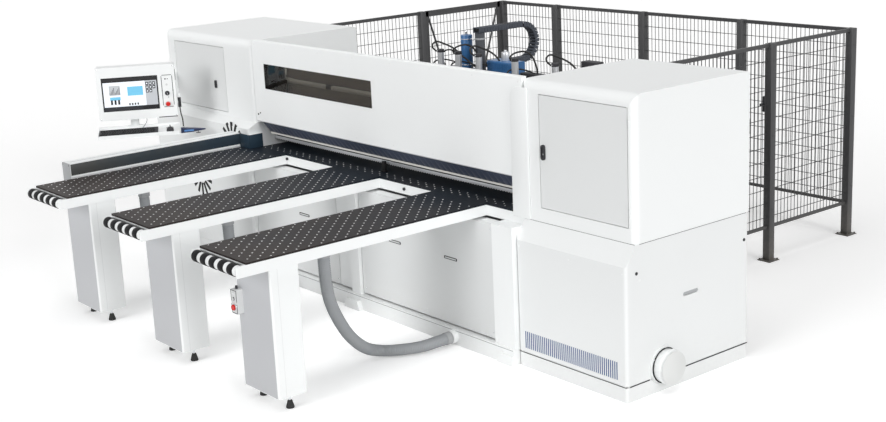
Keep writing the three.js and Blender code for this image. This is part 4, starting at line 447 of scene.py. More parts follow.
def coat(name, slot, colour, roughness=0.4, spread=0.03, dust=0.0, grain=420.0, depth=0.00006, metallic=0.0,
         specular=0.5, clear=0.0):
    """Painted or moulded surface: slow colour change, dust near the floor, orange peel."""
    tree, shader, tone = base(name, slot, Colour=colour, Spread=spread, Dust=dust, Roughness=roughness)
    fed(tree, shader, {
        "Roughness": tone.outputs["Roughness"], "Metallic": metallic, "Specular IOR Level": specular,
        "Coat Weight": clear})
    bumped(tree, shader, placed(tree, "grain", Scale=grain).outputs["Height"], depth)


def metal(name, slot, colour, roughness, stretch, depth=0.00004):
    """Bare metal with fine parallel lines."""
    SLOTS[name] = slot
    _, tree, shader = new_material(name)
    lines = placed(tree, "brushed", Stretch=stretch)
    mask = lines.outputs["Mask"]
    worn = mixed(tree, mask, [c * 0.86 for c in colour], [min(1, c * 1.1) for c in colour])
    rough = number(tree, "ADD", number(tree, "MULTIPLY", mask, 0.2), roughness - 0.1)
    fed(tree, shader, {"Base Color": worn, "Roughness": rough, "Metallic": 1.0})
    bumped(tree, shader, lines.outputs["Height"], depth)


def board(name, slot, colour, sheen):
    """Dark phenolic laminate: brown in front, blue behind, pebble grain and faint handling marks."""
    tree, shader, tone = base(name, slot, Spread=0.25, Dust=0.0, Roughness=sheen, Scale=3.0)
    depth = fed_node(tree, "SeparateXYZ", {0: place(tree)}).outputs["Y"]
    slow = noise(tree, place(tree), 1.6, 2.0)
    along = number(tree, "SUBTRACT", depth, TOWER_LOW.y - 1.9)
    share = number(
        tree, "ADD", number(tree, "MULTIPLY", along, 0.5), number(tree, "SUBTRACT", slow, 0.55), True)
    warm = [value * rise for value, rise in zip(colour, (2.6, 1.9, 1.35))]
    cool = [value * rise for value, rise in zip(colour, (0.85, 1.15, 1.3))]
    feed(tree, tone.inputs["Colour"], mixed(tree, share, warm, cool))
    marks = placed(tree, "wear", Scale=14.0, Amount=0.35)
    worn = mixed(tree, marks.outputs["Mask"], tone.outputs["Colour"], [c * 1.7 + 0.006 for c in colour])
    fed(tree, shader, {
        "Base Color": worn, "Roughness": tone.outputs["Roughness"], "Specular IOR Level": 0.12})
    bumped(tree, shader, placed(tree, "grain", Scale=650.0).outputs["Height"], 0.0001)


def smoked_sheet(name, slot):
    """Tinted clear sheet."""
    tree, shader, _ = base(name, slot, Colour=(0.42, 0.4, 0.36), Spread=0.06, Dust=0.0, Roughness=0.08)
    fed(tree, shader, {"Roughness": 0.03, "Transmission Weight": 1.0, "IOR": 1.2})


def lit(name, colour, strength):
    """A colour of the screen, with a faint glow."""
    tree, shader, tone = base(name, "screen", Colour=colour, Spread=0.05, Dust=0.0, Roughness=0.2, Scale=20.0)
    fed(tree, shader, {
        "Emission Color": tone.outputs["Colour"], "Emission Strength": strength, "Roughness": 0.15})


def make_finishes():
    c = colours()

    def white(share):
        return [value * share for value in c.white]

    coat("white_coat", "white_paint", white(1), 0.42, 0.02, 0.12)
    # The guard's coat is the housing white made lighter to make up for the little light that reaches the
    # inset guard: painted light.
    coat("guard_coat_painted_light", "white_paint", white(1.08), 0.42, 0.02, 0.12)
    coat("cabinet_coat", "white_paint", white(0.92), 0.42, 0.03, 0.12)
    coat("panel_coat", "white_paint", white(0.87), 0.45, 0.03, 0.12)
    coat("console_coat", "white_paint", white(0.97), 0.45, 0.02, 0.08)
    # A grey for the legs' front faces only: painted shade of the side turned from the light.
    coat("leg_painted_shade", "white_paint", (0.52, 0.53, 0.55), 0.4, 0.05, 0.1)
    coat("port_white", "white_paint", (0.7, 0.71, 0.7), 0.55, 0.08, 0.0, 120.0, 0.0003)
    coat("roller_white", "white_paint", (0.8, 0.81, 0.81), 0.35)
    coat("seam_grey", "white_paint", (0.3, 0.31, 0.32), 0.45, 0.05)
    coat("girder_coat", "grey_paint", c.girder, 0.5, 0.08, 0.2)
    coat("beam_taupe", "grey_paint", (0.17, 0.145, 0.13), 0.5, 0.15)
    coat("pale_plastic", "grey_paint", (0.66, 0.67, 0.67), 0.4, 0.05, 0.05, 700.0, 0.0001)
    coat("fence_coat", "dark_paint", c.fence, 0.5, 0.12, 0.3, 900.0, 0.00012)
    coat("pusher_coat", "dark_paint", (0.06, 0.065, 0.075), 0.45, 0.1, 0.1)
    # Dark brown for the guard's inside behind its window: painted shade.
    coat("brown_painted_shade", "dark_paint", (0.022, 0.014, 0.011), 0.5, 0.3)
    coat("grip_grey", "dark_paint", (0.42, 0.43, 0.44), 0.45, 0.1)
    coat("grey_plastic", "dark_paint", (0.35, 0.36, 0.37), 0.45, 0.06, 0.1, 700.0, 0.0001)
    coat("louvre_blue", "dark_paint", (0.02, 0.07, 0.22), 0.5, 0.15)
    coat("screw_dark", "dark_paint", (0.012, 0.012, 0.013), 0.5, 0.2, 0.0, 500.0, 0.0001, specular=0.15)
    coat("blue_coat", "blue_paint", c.blue, 0.35, 0.08, 0.05)
    coat("gun_navy", "blue_paint", (0.012, 0.022, 0.07), 0.32, 0.1, 0.0, 500.0, 0.00008)
    coat("gun_blue", "blue_paint", (0.1, 0.25, 0.55), 0.35, 0.08)
    coat("black_plastic", "black_plastic", (0.01, 0.01, 0.011), 0.5, 0.2, 0.05, 800.0, 0.00012, specular=0.1)
    coat("key_black", "black_plastic", (0.006, 0.006, 0.007), 0.45, 0.3, 0.0, 900.0, 0.0001, specular=0.12)
    coat("cord_grey", "black_plastic", (0.3, 0.31, 0.33), 0.5, 0.1, 0.0, 600.0, 0.0001)
    coat("red_plastic", "red_plastic", (0.55, 0.02, 0.015), 0.28, 0.05, 0.0, 300.0, 0.00004, clear=0.3)
    coat("black_rubber", "black_rubber", (0.009, 0.009, 0.01), 0.7, 0.3, 0.05, 500.0, 0.0002, specular=0.08)
    coat("roller_bands", "black_rubber", (0.012, 0.012, 0.013), 0.55, 0.3, 0.0, 300.0, 0.0002, specular=0.08)
    coat("curtain_rubber", "black_rubber", (0.075, 0.09, 0.135), 0.4, 0.5, 0.0, 260.0, 0.0003)
    coat("chain_plastic", "chain_plastic", (0.025, 0.035, 0.05), 0.45, 0.2, 0.05, 500.0, 0.00012)
    coat("hose_plastic", "hose_plastic", c.hose, 0.42, 0.9, 0.1, 160.0, 0.0004, specular=0.35)
    # A flat bright cream in place of bare rail metal, lighter to show through the curtain's shade: painted
    # light.
    coat("rail_cream_painted_light", "aluminium", (0.78, 0.77, 0.72), 0.3, 0.05)
    coat("rail_silver", "aluminium", (0.6, 0.61, 0.63), 0.32, 0.06, metallic=0.45)
    coat("rail_dark", "aluminium", (0.02, 0.021, 0.024), 0.5, 0.2)
    coat("jet_steel", "steel", (0.8, 0.8, 0.8), 0.3, 0.05)
    board("dark_board", "phenolic_board", c.board, 0.5)
    board("slate_board", "phenolic_board", (0.028, 0.038, 0.05), 0.42)
    metal("rail_metal", "aluminium", (0.7, 0.71, 0.73), 0.24, (2.0, 300.0, 300.0))
    metal("ground_steel", "steel", (0.55, 0.56, 0.58), 0.28, (300.0, 3.0, 300.0))
    metal("bright_steel", "steel", (0.75, 0.76, 0.78), 0.2, (300.0, 300.0, 4.0))
    smoked_sheet("smoked_sheet", "smoked_window")
    for name, colour, strength in (
            ("screen_bar", (0.01, 0.01, 0.012), 0.0), ("screen_panel", (0.5, 0.52, 0.55), 0.12),
            ("screen_light", (0.82, 0.86, 0.9), 0.25), ("screen_dark", (0.02, 0.022, 0.028), 0.0),
            ("screen_grey", (0.5, 0.52, 0.54), 0.1), ("screen_blue", (0.16, 0.5, 0.72), 0.2)):
        lit(name, colour, strength)


CAD_FINISHES = {
    "white_coat": [
        "bed_frame", "right_tower", "left_tower", "squaring_fence", "console_column",
        *(f"{part}_{side}" for part in ("arm", "leg") for side in SIDES)],
    # The guard takes the lightened white: painted light.
    "guard_coat_painted_light": ["beam_guard"],
    "cabinet_coat": ["right_cabinet", "left_cabinet"],
    "panel_coat": ["bed_panel_right", "bed_panel_left", "right_door", "left_door"],
    "girder_coat": ["beam_girder", "rear_table", "saw_carriage"],
    "fence_coat": ["safety_fence", "side_fence", "safety_gate"],
    "pusher_coat": ["pusher_carriage"],
    "blue_coat": ["saw_head", "pusher_drive", "blow_gun"],
    "console_coat": ["console_housing"],
    "black_plastic": [
        "right_latch", "left_latch", "leg_button", "keyboard_cord", "mouse", "gun_trigger", "keyboard"],
    "pale_plastic": ["button_box"],
    "red_plastic": ["leg_stop", "console_stop"],
    "black_rubber": ["air_hose"],
    "roller_bands": [f"front_roller_{side}" for side in SIDES],
    "hose_plastic": ["extraction_hose"],
    "chain_plastic": ["cable_chain"],
    "dark_board": ["front_table", *(f"arm_top_{side}" for side in SIDES)],
    "rail_metal": ["pressure_beam", *(f"gripper_jaw_{i + 1}" for i in range(len(GRIPPERS)))],
    "ground_steel": ["main_blade", "scoring_blade"],
    "bright_steel": ["key_switch"],
    "smoked_sheet": ["guard_window"],
    "screen_dark": ["console_screen"],
}


# Camera and stage

CAMERA_ANGLES = (51.372, 14.431, -2.685)  # azimuth, elevation and roll in degrees
CAMERA_PLACE = (6.373, -5.753, 3.238)
FOCAL_PIXELS, PHOTO_PIXELS, SENSOR_MM = 1401.8, 886, 36.0
FLOOR_TONE, FLOOR_GLOW = 0.93, 0.265
WORLD_LIGHT, WORLD_SEEN = 0.17, 0.83
# Name, energy, width in degrees and direction of each sun
SUNS = [
    ("Key", 1.56, 25, (-1.7, 0.15, -0.5)), ("Fill", 1.33, 30, (-0.1, 1.2, -0.42)),
    ("Top", 1.12, 45, (-0.1, 0.12, -1.0))]


def seen_by_eye(tree, share):
    """A share for the rays that the camera sees, straight on, in a mirror or through a window; else 0."""
    path = tree.nodes.new("ShaderNodeLightPath").outputs
    beyond = number(tree, "ADD", path["Is Glossy Ray"], path["Is Transmission Ray"])
    return number(tree, "MULTIPLY", number(tree, "ADD", path["Is Camera Ray"], beyond, True), share)


class SAW_OT_camera(bpy.types.Operator):
    """Camera at the place that the photograph was taken from"""

    bl_idname = "saw.camera"
    bl_label = "Camera"

    def execute(self, context):
        azimuth, elevation, roll = (math.radians(v) for v in CAMERA_ANGLES)
        forward = Vector((
            -math.sin(azimuth) * math.cos(elevation), math.cos(azimuth) * math.cos(elevation),
            -math.sin(elevation)))
        right = forward.cross(Vector((0, 0, 1))).normalized()
        up = right.cross(forward)
        side = right * math.cos(roll) + up * math.sin(roll)
        top = up * math.cos(roll) - right * math.sin(roll)
        data = bpy.data.cameras.new("Camera")
        data.sensor_width = SENSOR_MM
        data.lens = FOCAL_PIXELS / PHOTO_PIXELS * SENSOR_MM
        data.clip_start, data.clip_end = 0.1, 100.0
        camera = bpy.data.objects.new("Camera", data)
        context.collection.objects.link(camera)
        turn = Matrix((side, top, -forward)).transposed().to_4x4()
        camera.matrix_world = Matrix.Translation(at(*CAMERA_PLACE)) @ turn
        context.scene.camera = camera
        return {"FINISHED"}


class SAW_OT_stage(bpy.types.Operator):
    """Pale floor, white surroundings and soft lamps"""

    bl_idname = "saw.stage"
    bl_label = "Stage"

    def execute(self, context):
        deselect()
        bpy.ops.mesh.primitive_plane_add(size=80, location=(0, 0, 0))
        floor = context.object
        floor.name = "floor"
        material, tree, shader = new_material("floor_white")
        fed(tree, shader, {
            "Base Color": (FLOOR_TONE, FLOOR_TONE, FLOOR_TONE), "Roughness": 0.9, "Specular IOR Level": 0.1})
        glow = fed_node(tree, "Emission", {"Strength": seen_by_eye(tree, FLOOR_GLOW)})
        both = fed_node(tree, "AddShader", {0: shader.outputs[0], 1: glow.outputs[0]})
        fed(tree, tree.nodes["Material Output"], {"Surface": both.outputs[0]})
        floor.data.materials.append(material)

        world = bpy.data.worlds.new("Surroundings")
        context.scene.world = world
        world.use_nodes = True
        tree = world.node_tree
        level = number(tree, "ADD", seen_by_eye(tree, WORLD_SEEN), WORLD_LIGHT)
        fed(tree, tree.nodes["Background"], {"Color": (1, 1, 1), "Strength": level})

        for name, energy, spread, direction in SUNS:
            sun = bpy.data.lights.new(name, "SUN")
            sun.energy = energy
            sun.angle = math.radians(spread)
            lamp = bpy.data.objects.new(name, sun)
            lamp.rotation_euler = Vector(direction).to_track_quat("-Z", "Y").to_euler()
            context.collection.objects.link(lamp)
        context.scene.view_settings.view_transform = "Standard"
        return {"FINISHED"}


class SAW_OT_finishes(bpy.types.Operator):
    """Paints, boards, metals and plastics on the carried-over nodes"""

    bl_idname = "saw.finishes"
    bl_label = "Finishes"

    def execute(self, context):
        make_groups()
        make_finishes()
        for finish, names in CAD_FINISHES.items():
            for name in names:
                data = NODES[name].data
                data.materials.clear()
                data.materials.append(bpy.data.materials[finish])
        return {"FINISHED"}


# Fence

RAIL_HALF = 0.010
POST_HALF, PLATE_HALF, ANCHOR_AT = 0.032, 0.062, 0.048
FENCE_BOTTOM, FENCE_TOP = 0.262, 1.712
BOTTOM_RAIL, TOP_RAIL, GATE_RAIL = 0.025, 0.03, 0.058
GATE_STILE, GATE_GAP = 0.038, 0.012


def fence_post(x, y):
    """A post on a base plate, with four anchors and three cross bolts."""
    post = slab(at(x - POST_HALF, y - POST_HALF, 0.004), at(x + POST_HALF, y + POST_HALF, FENCE_TOP), 0.004)
    plate = slab(at(x - PLATE_HALF, y - PLATE_HALF, 0), at(x + PLATE_HALF, y + PLATE_HALF, 0.008), 0.003)
    corners = [(x + dx, y + dy, 0.008) for dy in (-ANCHOR_AT, ANCHOR_AT) for dx in (-ANCHOR_AT, ANCHOR_AT)]
    bolt = POST_HALF + 0.003
    return [
        post, plate, *pegs(corners, (0, 0, 0.01), 0.007, 6, 0.001),
        *pegs([(x - bolt, y, z) for z in (0.42, 1.0, 1.58)], (2 * bolt, 0, 0), 0.006, 8)]


def mesh_panel(start, end, top_rail=TOP_RAIL, frame_width=0.0):
    """Rails and wires between two places on the ground line."""
    s = sizes()
    start, end = Vector((*start, 0)), Vector((*end, 0))
    run = end - start
    along = run.normalized()
    side = Vector((-along.y, along.x, 0))

    def bar(a, b, low, high, half):
        first, last = start + along * a - side * half, start + along * b + side * half
        low_corner = at(min(first.x, last.x), min(first.y, last.y), low)
        high_corner = at(max(first.x, last.x), max(first.y, last.y), high)
        return slab(low_corner, high_corner, 0.002, 1)

    length = run.length
    parts = [
        bar(0, length, FENCE_TOP - top_rail, FENCE_TOP, RAIL_HALF),
        bar(0, length, FENCE_BOTTOM, FENCE_BOTTOM + BOTTOM_RAIL, RAIL_HALF),
    ]
    if frame_width > 0:
        parts.append(bar(0, frame_width, FENCE_BOTTOM, FENCE_TOP, RAIL_HALF))
        parts.append(bar(length - frame_width, length, FENCE_BOTTOM, FENCE_TOP, RAIL_HALF))
    count = max(2, round(length / s.wire_pitch))
    step = along * (length / count)
    foot = start + step / 2
    wire = rod(
        at(foot.x, foot.y, FENCE_BOTTOM + 0.01), at(foot.x, foot.y, FENCE_TOP - 0.01), s.wire_radius, 5)
    parts.append(arrayed(wire, count, step))
    rows = int((FENCE_TOP - FENCE_BOTTOM) / s.wire_rise)
    shift = side * (s.wire_radius * 1.7)
    first, last = start + shift, end + shift
    lowest = FENCE_BOTTOM + s.wire_rise * 0.8
    level = rod(at(first.x, first.y, lowest), at(last.x, last.y, lowest), s.wire_radius, 5)
    parts.append(arrayed(level, rows, (0, 0, s.wire_rise)))
    return parts


def stubs(low_x, high_x):
    """Short rails from the first post of a side to the tower before it."""
    levels = ((FENCE_BOTTOM, FENCE_BOTTOM + BOTTOM_RAIL), (FENCE_TOP - TOP_RAIL, FENCE_TOP))
    return [slab(at(low_x, TOWER_BACK, low), at(high_x, FIRST_Y, high), 0.002, 1) for low, high in levels]


RIGHT_X, LEFT_X = -0.289, -4.491
TOWER_BACK, FIRST_Y, GATE_POST_Y, MIDDLE_Y, REAR_Y = 1.0253, 1.1, 2.774, 2.82, 3.838
REAR_POSTS = [RIGHT_X + (LEFT_X - RIGHT_X) * share for share in (0, 0.263, 0.5357, 0.811, 1)]


class SAW_OT_fence(bpy.types.Operator):
    """Safety fence with welded mesh, its gate and the lock on the middle post"""

    bl_idname = "saw.fence"
    bl_label = "Fence"

    def execute(self, context):
        parts = []
        for x in REAR_POSTS:
            parts += fence_post(x, REAR_Y)
        for right, left in zip(REAR_POSTS, REAR_POSTS[1:]):
            parts += mesh_panel((left, REAR_Y), (right, REAR_Y))
        parts += fence_post(RIGHT_X, FIRST_Y) + fence_post(RIGHT_X, MIDDLE_Y)
        parts += mesh_panel((RIGHT_X, FIRST_Y), (RIGHT_X, MIDDLE_Y))
        parts += mesh_panel((RIGHT_X, MIDDLE_Y), (RIGHT_X, REAR_Y))
        parts += mesh_panel((RIGHT_X, FIRST_Y), (0.06, FIRST_Y), frame_width=0.04)
        parts += stubs(0.02, 0.06)
        whole = finished("fence_welded_mesh", parts, "fence_coat", angle=0.5)
        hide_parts("safety_fence")

        lock = slab(at(-0.354, 2.8, 1.18), at(-0.321, 2.84, 1.3), 0.004)
        tongue = slab(at(-0.345, 2.76, 1.23), at(-0.33, 2.8, 1.25), 0.002)
        finished("fence_lock", [lock, tongue], "black_plastic")

        parts = fence_post(LEFT_X, FIRST_Y) + fence_post(LEFT_X, GATE_POST_Y)
        parts += mesh_panel((LEFT_X, FIRST_Y), (LEFT_X, GATE_POST_Y))
        parts += stubs(LEFT_X - 0.02, LEFT_X + 0.02)
        side = finished("side_welded_mesh", parts, "fence_coat", angle=0.5)
        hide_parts("side_fence")

        y0, y1 = GATE_POST_Y + POST_HALF + GATE_GAP, REAR_Y - POST_HALF - GATE_GAP
        parts = mesh_panel((LEFT_X, y0), (LEFT_X, y1), GATE_RAIL, GATE_STILE)
        brace = at(LEFT_X, (y0 + y1) / 2, FENCE_BOTTOM + 0.012)
        for foot in (y0 + GATE_STILE, y1 - GATE_STILE):
            parts.append(rod(at(LEFT_X, foot, FENCE_TOP - GATE_RAIL), brace, 0.011, 6))
        hinges = [(LEFT_X, y0 + 0.0003, z) for z in (0.5037, 1.3495)]
        parts += pegs(hinges, (0, 0, 0.09), 0.0117, 12, 0.002)
        parts.append(slab(at(LEFT_X - 0.01, y1 - 0.001, 1.07), at(LEFT_X + 0.01, y1 + 0.0117, 1.13), 0.002))
        gate = finished("gate_welded_mesh", parts, "fence_coat", body="safety_gate", angle=0.5)
        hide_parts("safety_gate")
        return {"FINISHED"}


# Tables

ARM_RIGHTS = [-0.36603, -1.53405, -2.74995]
ARM_WIDTH, ARM_LENGTH = 0.534, 1.829
JET_ROWS, JET_MARGIN, JET_END = 12, 0.05, 0.12
TABLE_JETS, TABLE_PITCH = 34, 0.09


def jet():
    """An air jet: a ball in a rimmed seat, a little proud of the board."""
    s = sizes()
    rim = rod((0, 0, TABLE_TOP), (0, 0, TABLE_TOP + 0.0006), s.jet_radius, 12, 0.0002)
    ball = dome((0, 0, TABLE_TOP + 0.0006), s.jet_radius * 0.6, (1, 1, 0.5), 4, 8)
    return joined("jet", [rim, ball])


class SAW_OT_jets(bpy.types.Operator):
    """Air jets on the three arms and on the front table"""

    bl_idname = "saw.jets"
    bl_label = "Air jets"

    def execute(self, context):
        step = sizes().jet_pitch
        for name, right in zip(SIDES, ARM_RIGHTS):
            left = right - ARM_WIDTH
            margin = (ARM_WIDTH - step * (JET_ROWS - 1)) / 2
            count = int((ARM_LENGTH - JET_END) / (2 * step))
            blocks = []
            for shift in (0, 1):
                one = jet()
                one.data.transform(Matrix.Translation(
                    at(left + margin + step * shift, -ARM_LENGTH + JET_MARGIN + step * shift, 0)))
                arrayed(one, JET_ROWS // 2, (2 * step, 0, 0))
                blocks.append(arrayed(one, count, (0, 2 * step, 0)))
            if name == "left":
                for block in blocks:
                    cut_off(block, at(-3.142, -0.095, 0))
                    cut_off(block, at(-3.27, -1.9, 0))
            finished(f"jets_{name}", blocks, "jet_steel", angle=0.9)
        blocks = []
        for y, shift in ((0.03, 0.0), (0.062, 0.5), (0.094, 0.0)):
            one = jet()
            one.data.transform(Matrix.Translation(at(-3.1 + TABLE_PITCH * shift, y, 0)))
            blocks.append(arrayed(one, TABLE_JETS, (TABLE_PITCH, 0, 0)))
        finished("jets_table", blocks, "jet_steel", angle=0.9)
        return {"FINISHED"}


def cut_off(piece, corner):
    """Takes away what lies to the left of and behind a corner."""
    clear_choice(piece)
    for vertex in piece.data.vertices:
        vertex.select = vertex.co.x < corner.x and vertex.co.y > corner.y
    bpy.ops.object.mode_set(mode="EDIT")
    bpy.ops.mesh.delete(type="VERT")
    bpy.ops.object.mode_set(mode="OBJECT")


# Hoses and cords

FINE_STEPS, TINY = 16, 1e-9


def smooth_line(points, count):
    """Evenly spaced places on one smooth curve through the points, and its length."""
    spots = [Vector(p) for p in points]
    spots = [spots[0] * 2 - spots[1]] + spots + [spots[-1] * 2 - spots[-2]]
    fine = []
    for a, b, c, d in zip(spots, spots[1:], spots[2:], spots[3:]):
        t1 = math.sqrt((b - a).length)
        t2 = t1 + math.sqrt((c - b).length)
        t3 = t2 + math.sqrt((d - c).length)
        for k in range(FINE_STEPS):
            t = t1 + (t2 - t1) * k / FINE_STEPS
            ab, bc, cd = a.lerp(b, t / t1), b.lerp(c, (t - t1) / (t2 - t1)), c.lerp(d, (t - t2) / (t3 - t2))
            abc, bcd = ab.lerp(bc, t / t2), bc.lerp(cd, (t - t1) / (t3 - t1))
            fine.append(abc.lerp(bcd, (t - t1) / (t2 - t1)))
    fine.append(spots[-2])
    marks = [0.0]
    for a, b in zip(fine, fine[1:]):
        marks.append(marks[-1] + (b - a).length)
    line = []
    for i in range(count):
        goal = marks[-1] * i / (count - 1)
        k = next(k for k in range(1, len(marks)) if marks[k] >= goal - TINY)
        share = (goal - marks[k - 1]) / max(TINY, marks[k] - marks[k - 1])
        line.append(fine[k - 1].lerp(fine[k], min(1, share)))
    return line, sum((b - a).length for a, b in zip(line, line[1:]))


def ribbed(name, line, length, radius, depth, pitch):
    """A ribbed hose: one rib, repeated and bent along the line."""
    count = round(length / pitch)
    step = length / count
    halves = []
    for k, (first, second) in enumerate(((radius - depth, radius), (radius, radius - depth))):
        deselect()
        bpy.ops.mesh.primitive_cone_add(
            vertices=20, radius1=first, radius2=second, depth=step / 2, end_fill_type="NOTHING",
            location=(step * (k + 0.5) / 2, 0, 0), rotation=(0, math.pi / 2, 0))
        halves.append(set_down(bpy.context.object))
    hose = joined(name, halves)
    row = row_of(hose, count, (step, 0, 0))
    row.use_merge_vertices = True
    row.merge_threshold = step / 20
    route = curve_through(name + "_route", line)
    bend = hose.modifiers.new("Bend", "CURVE")
    bend.object = route
    apply_modifiers(hose)
    bpy.data.objects.remove(route)
    return hose


HOSE_RADIUS, RIB_DEPTH, RIB_PITCH = 0.04, 0.0035, 0.0115
HOSES = {
    "right": [
        (-0.65, -1.109, 0.8717), (-0.65, -1.109, 0.7917), (-0.652, -1.09, 0.56), (-0.69, -1.0, 0.37),
        (-0.746, -0.86, 0.19), (-0.775, -0.72, 0.078), (-0.745, -0.62, 0.048), (-0.68, -0.53, 0.047),
        (-0.618, -0.4, 0.05), (-0.6, -0.2523, 0.058), (-0.6, -0.1723, 0.058)],
    "middle": [
        (-1.818, -1.1, 0.8717), (-1.818, -1.1, 0.79), (-1.824, -1.085, 0.64), (-1.856, -1.0, 0.49),
        (-1.915, -0.86, 0.33), (-2.0, -0.71, 0.18), (-2.11, -0.57, 0.075), (-2.25, -0.45, 0.048),
        (-2.41, -0.35, 0.05), (-2.535, -0.25, 0.058), (-2.56, -0.162, 0.06)],
    "left": [
        (-3.034, -1.1, 0.8717), (-3.034, -1.1, 0.79), (-3.042, -1.085, 0.64), (-3.08, -1.0, 0.47),
        (-3.16, -0.87, 0.3), (-3.28, -0.74, 0.15), (-3.44, -0.62, 0.06), (-3.64, -0.52, 0.046),
        (-3.86, -0.43, 0.05), (-4.06, -0.32, 0.06), (-4.18, -0.19, 0.078), (-4.2, -0.109, 0.08)]}
# Name, node, radius, finish, stiffness and places in the console's frame
LEADS = [
    ("cord_keyboard", "keyboard_cord", 0.003, "cord_grey", "limp", [
        (0.06, -0.1551, 1.1628), (0.06, -0.1492, 1.1636), (0.066, -0.128, 1.168), (0.082, -0.092, 1.184),
        (0.098, -0.064, 1.208), (0.1, -0.06, 1.2287), (0.1, -0.06, 1.2347)]),
    ("hose_air_gun", "air_hose", 0.005, "black_rubber", "medium", [
        (0.372, -0.04, 1.2997), (0.372, -0.04, 1.2897), (0.376, -0.052, 1.25), (0.386, -0.086, 1.205),
        (0.388, -0.11, 1.1623), (0.388, -0.11, 1.1523)])]


class SAW_OT_hoses(bpy.types.Operator):
    """Extraction hoses under the arms, the keyboard's cord and the air gun's hose"""

    bl_idname = "saw.hoses"
    bl_label = "Hoses and cords"

    def execute(self, context):
        for side, points in HOSES.items():
            line, length = smooth_line([at(*p) for p in points], 40)
            name = f"hose_{side}"
            hose = ribbed(name, line, length, HOSE_RADIUS, RIB_DEPTH, RIB_PITCH)
            finished(name, hose, "hose_plastic", angle=1.2)
            if side == "right":
                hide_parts("extraction_hose")
            top = rod(line[0], line[0] - Vector((0, 0, 0.05)), 0.0432, 24, 0.003)
            foot = rod(line[-1], line[-1] - Vector((0, 0.045, 0)), 0.0432, 24, 0.003)
            bands = [ring(line[0] - Vector((0, 0, z)), (0, 0, 1), 0.0435, 0.0022) for z in (0.012, 0.04)]
            finished(f"cuffs_{side}", [top, foot, *bands], "grey_plastic", "hose_plastic")
        for side, x, y, z in (("middle", -2.56, -0.136, 0.06), ("left", -4.2, -0.085, 0.08)):
            neck = rod(at(x, y - 0.0235, z), at(x, y - 0.0003, z), 0.047, 32, 0.003)
            plate = slab(at(x - 0.06, y - 0.004, z - 0.055), at(x + 0.06, y - 0.0003, z + 0.055), 0.0015)
            finished(f"collar_{side}", [neck, plate], "white_coat")
        for name, node, radius, finish, stiffness, points in LEADS:
            line, length = smooth_line([console(*p) for p in points], 24)
            cord = finished(name, tube(name, line, radius, 12, 3), finish, body="console", angle=1.2)
            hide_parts(node)
        return {"FINISHED"}


# Rollers, arms and legs

ROLLER_PLACE, ROLLER_BLOCKS = (-1.871, 0.955), 5
LEG_INSET, LEG_WIDTH, FOOT_INSET, FOOT_Y = 0.053, 0.395, 0.048, -1.545


class SAW_OT_rollers(bpy.types.Operator):
    """Front rollers: a pale core with black rubber blocks and steel pins"""

    bl_idname = "saw.rollers"
    bl_label = "Front rollers"

    def execute(self, context):
        y, z = ROLLER_PLACE
        for name, right in zip(SIDES, ARM_RIGHTS):
            low, high = right - 0.523, right - 0.017
            pitch = (high - low) / ROLLER_BLOCKS
            body = f"front_roller_{name}"
            core = rod(at(low, y, z), at(high, y, z), 0.0335, 36, 0.002)
            core = finished(f"roller_core_{name}", core, "roller_white", body=body)
            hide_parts(body)
            middle = low + pitch / 2
            band = rod(at(middle - 0.0305, y, z), at(middle + 0.0305, y, z), 0.037, 36, 0.003)
            bands = arrayed(band, ROLLER_BLOCKS, (pitch, 0, 0))
            finished(f"roller_bands_{name}", bands, "roller_bands", body=body)
            pins = rod(at(low - 0.0105, y, z), at(high + 0.0105, y, z), 0.0079, 16, 0.001)
            finished(f"roller_pins_{name}", pins, "bright_steel", body=body)
        return {"FINISHED"}


class SAW_OT_arms(bpy.types.Operator):
    """Feet, studs and folds of the legs under the arms, and grey sheets on the legs' fronts that are painted
    shade
    """

    bl_idname = "saw.arms"
    bl_label = "Arms and legs"

    def execute(self, context):
        pads, studs, folds, plates = [], [], [], []
        for right in ARM_RIGHTS:
            leg_right, leg_left = right - LEG_INSET, right - LEG_INSET - LEG_WIDTH
            for x in (leg_left + FOOT_INSET, leg_right - FOOT_INSET):
                pads += pegs([(x, FOOT_Y, 0)], (0, 0, 0.011), 0.0262, 20, 0.002)
                pads += pegs([(x, FOOT_Y, 0.011)], (0, 0, 0.039), 0.0255, 20, 0.0, 0.014)
                studs += pegs([(x, FOOT_Y, 0.048)], (0, 0, 0.04), 0.0102, 12, 0.0006)
                studs += pegs([(x, FOOT_Y, 0.072)], (0, 0, 0.01), 0.016, 6, 0.001)
            folds.append(slab(
                at(leg_right, -1.596, 0.092), at(leg_right + 0.0012, -1.5925, 0.905), 0.0005, 1))
            # A thin grey sheet on each leg's front face: painted shade.
            plates.append(slab(
                at(leg_left + 0.014, -1.6494, 0.092), at(leg_right - 0.014, -1.6478, 0.9), 0.0005, 1))
        finished("leg_front_painted_shade", plates, "leg_painted_shade")
        finished("leg_feet", pads, "black_rubber", "black_plastic")
        finished("leg_studs", studs, "bright_steel")
        finished("leg_folds", folds, "panel_coat")
        return {"FINISHED"}


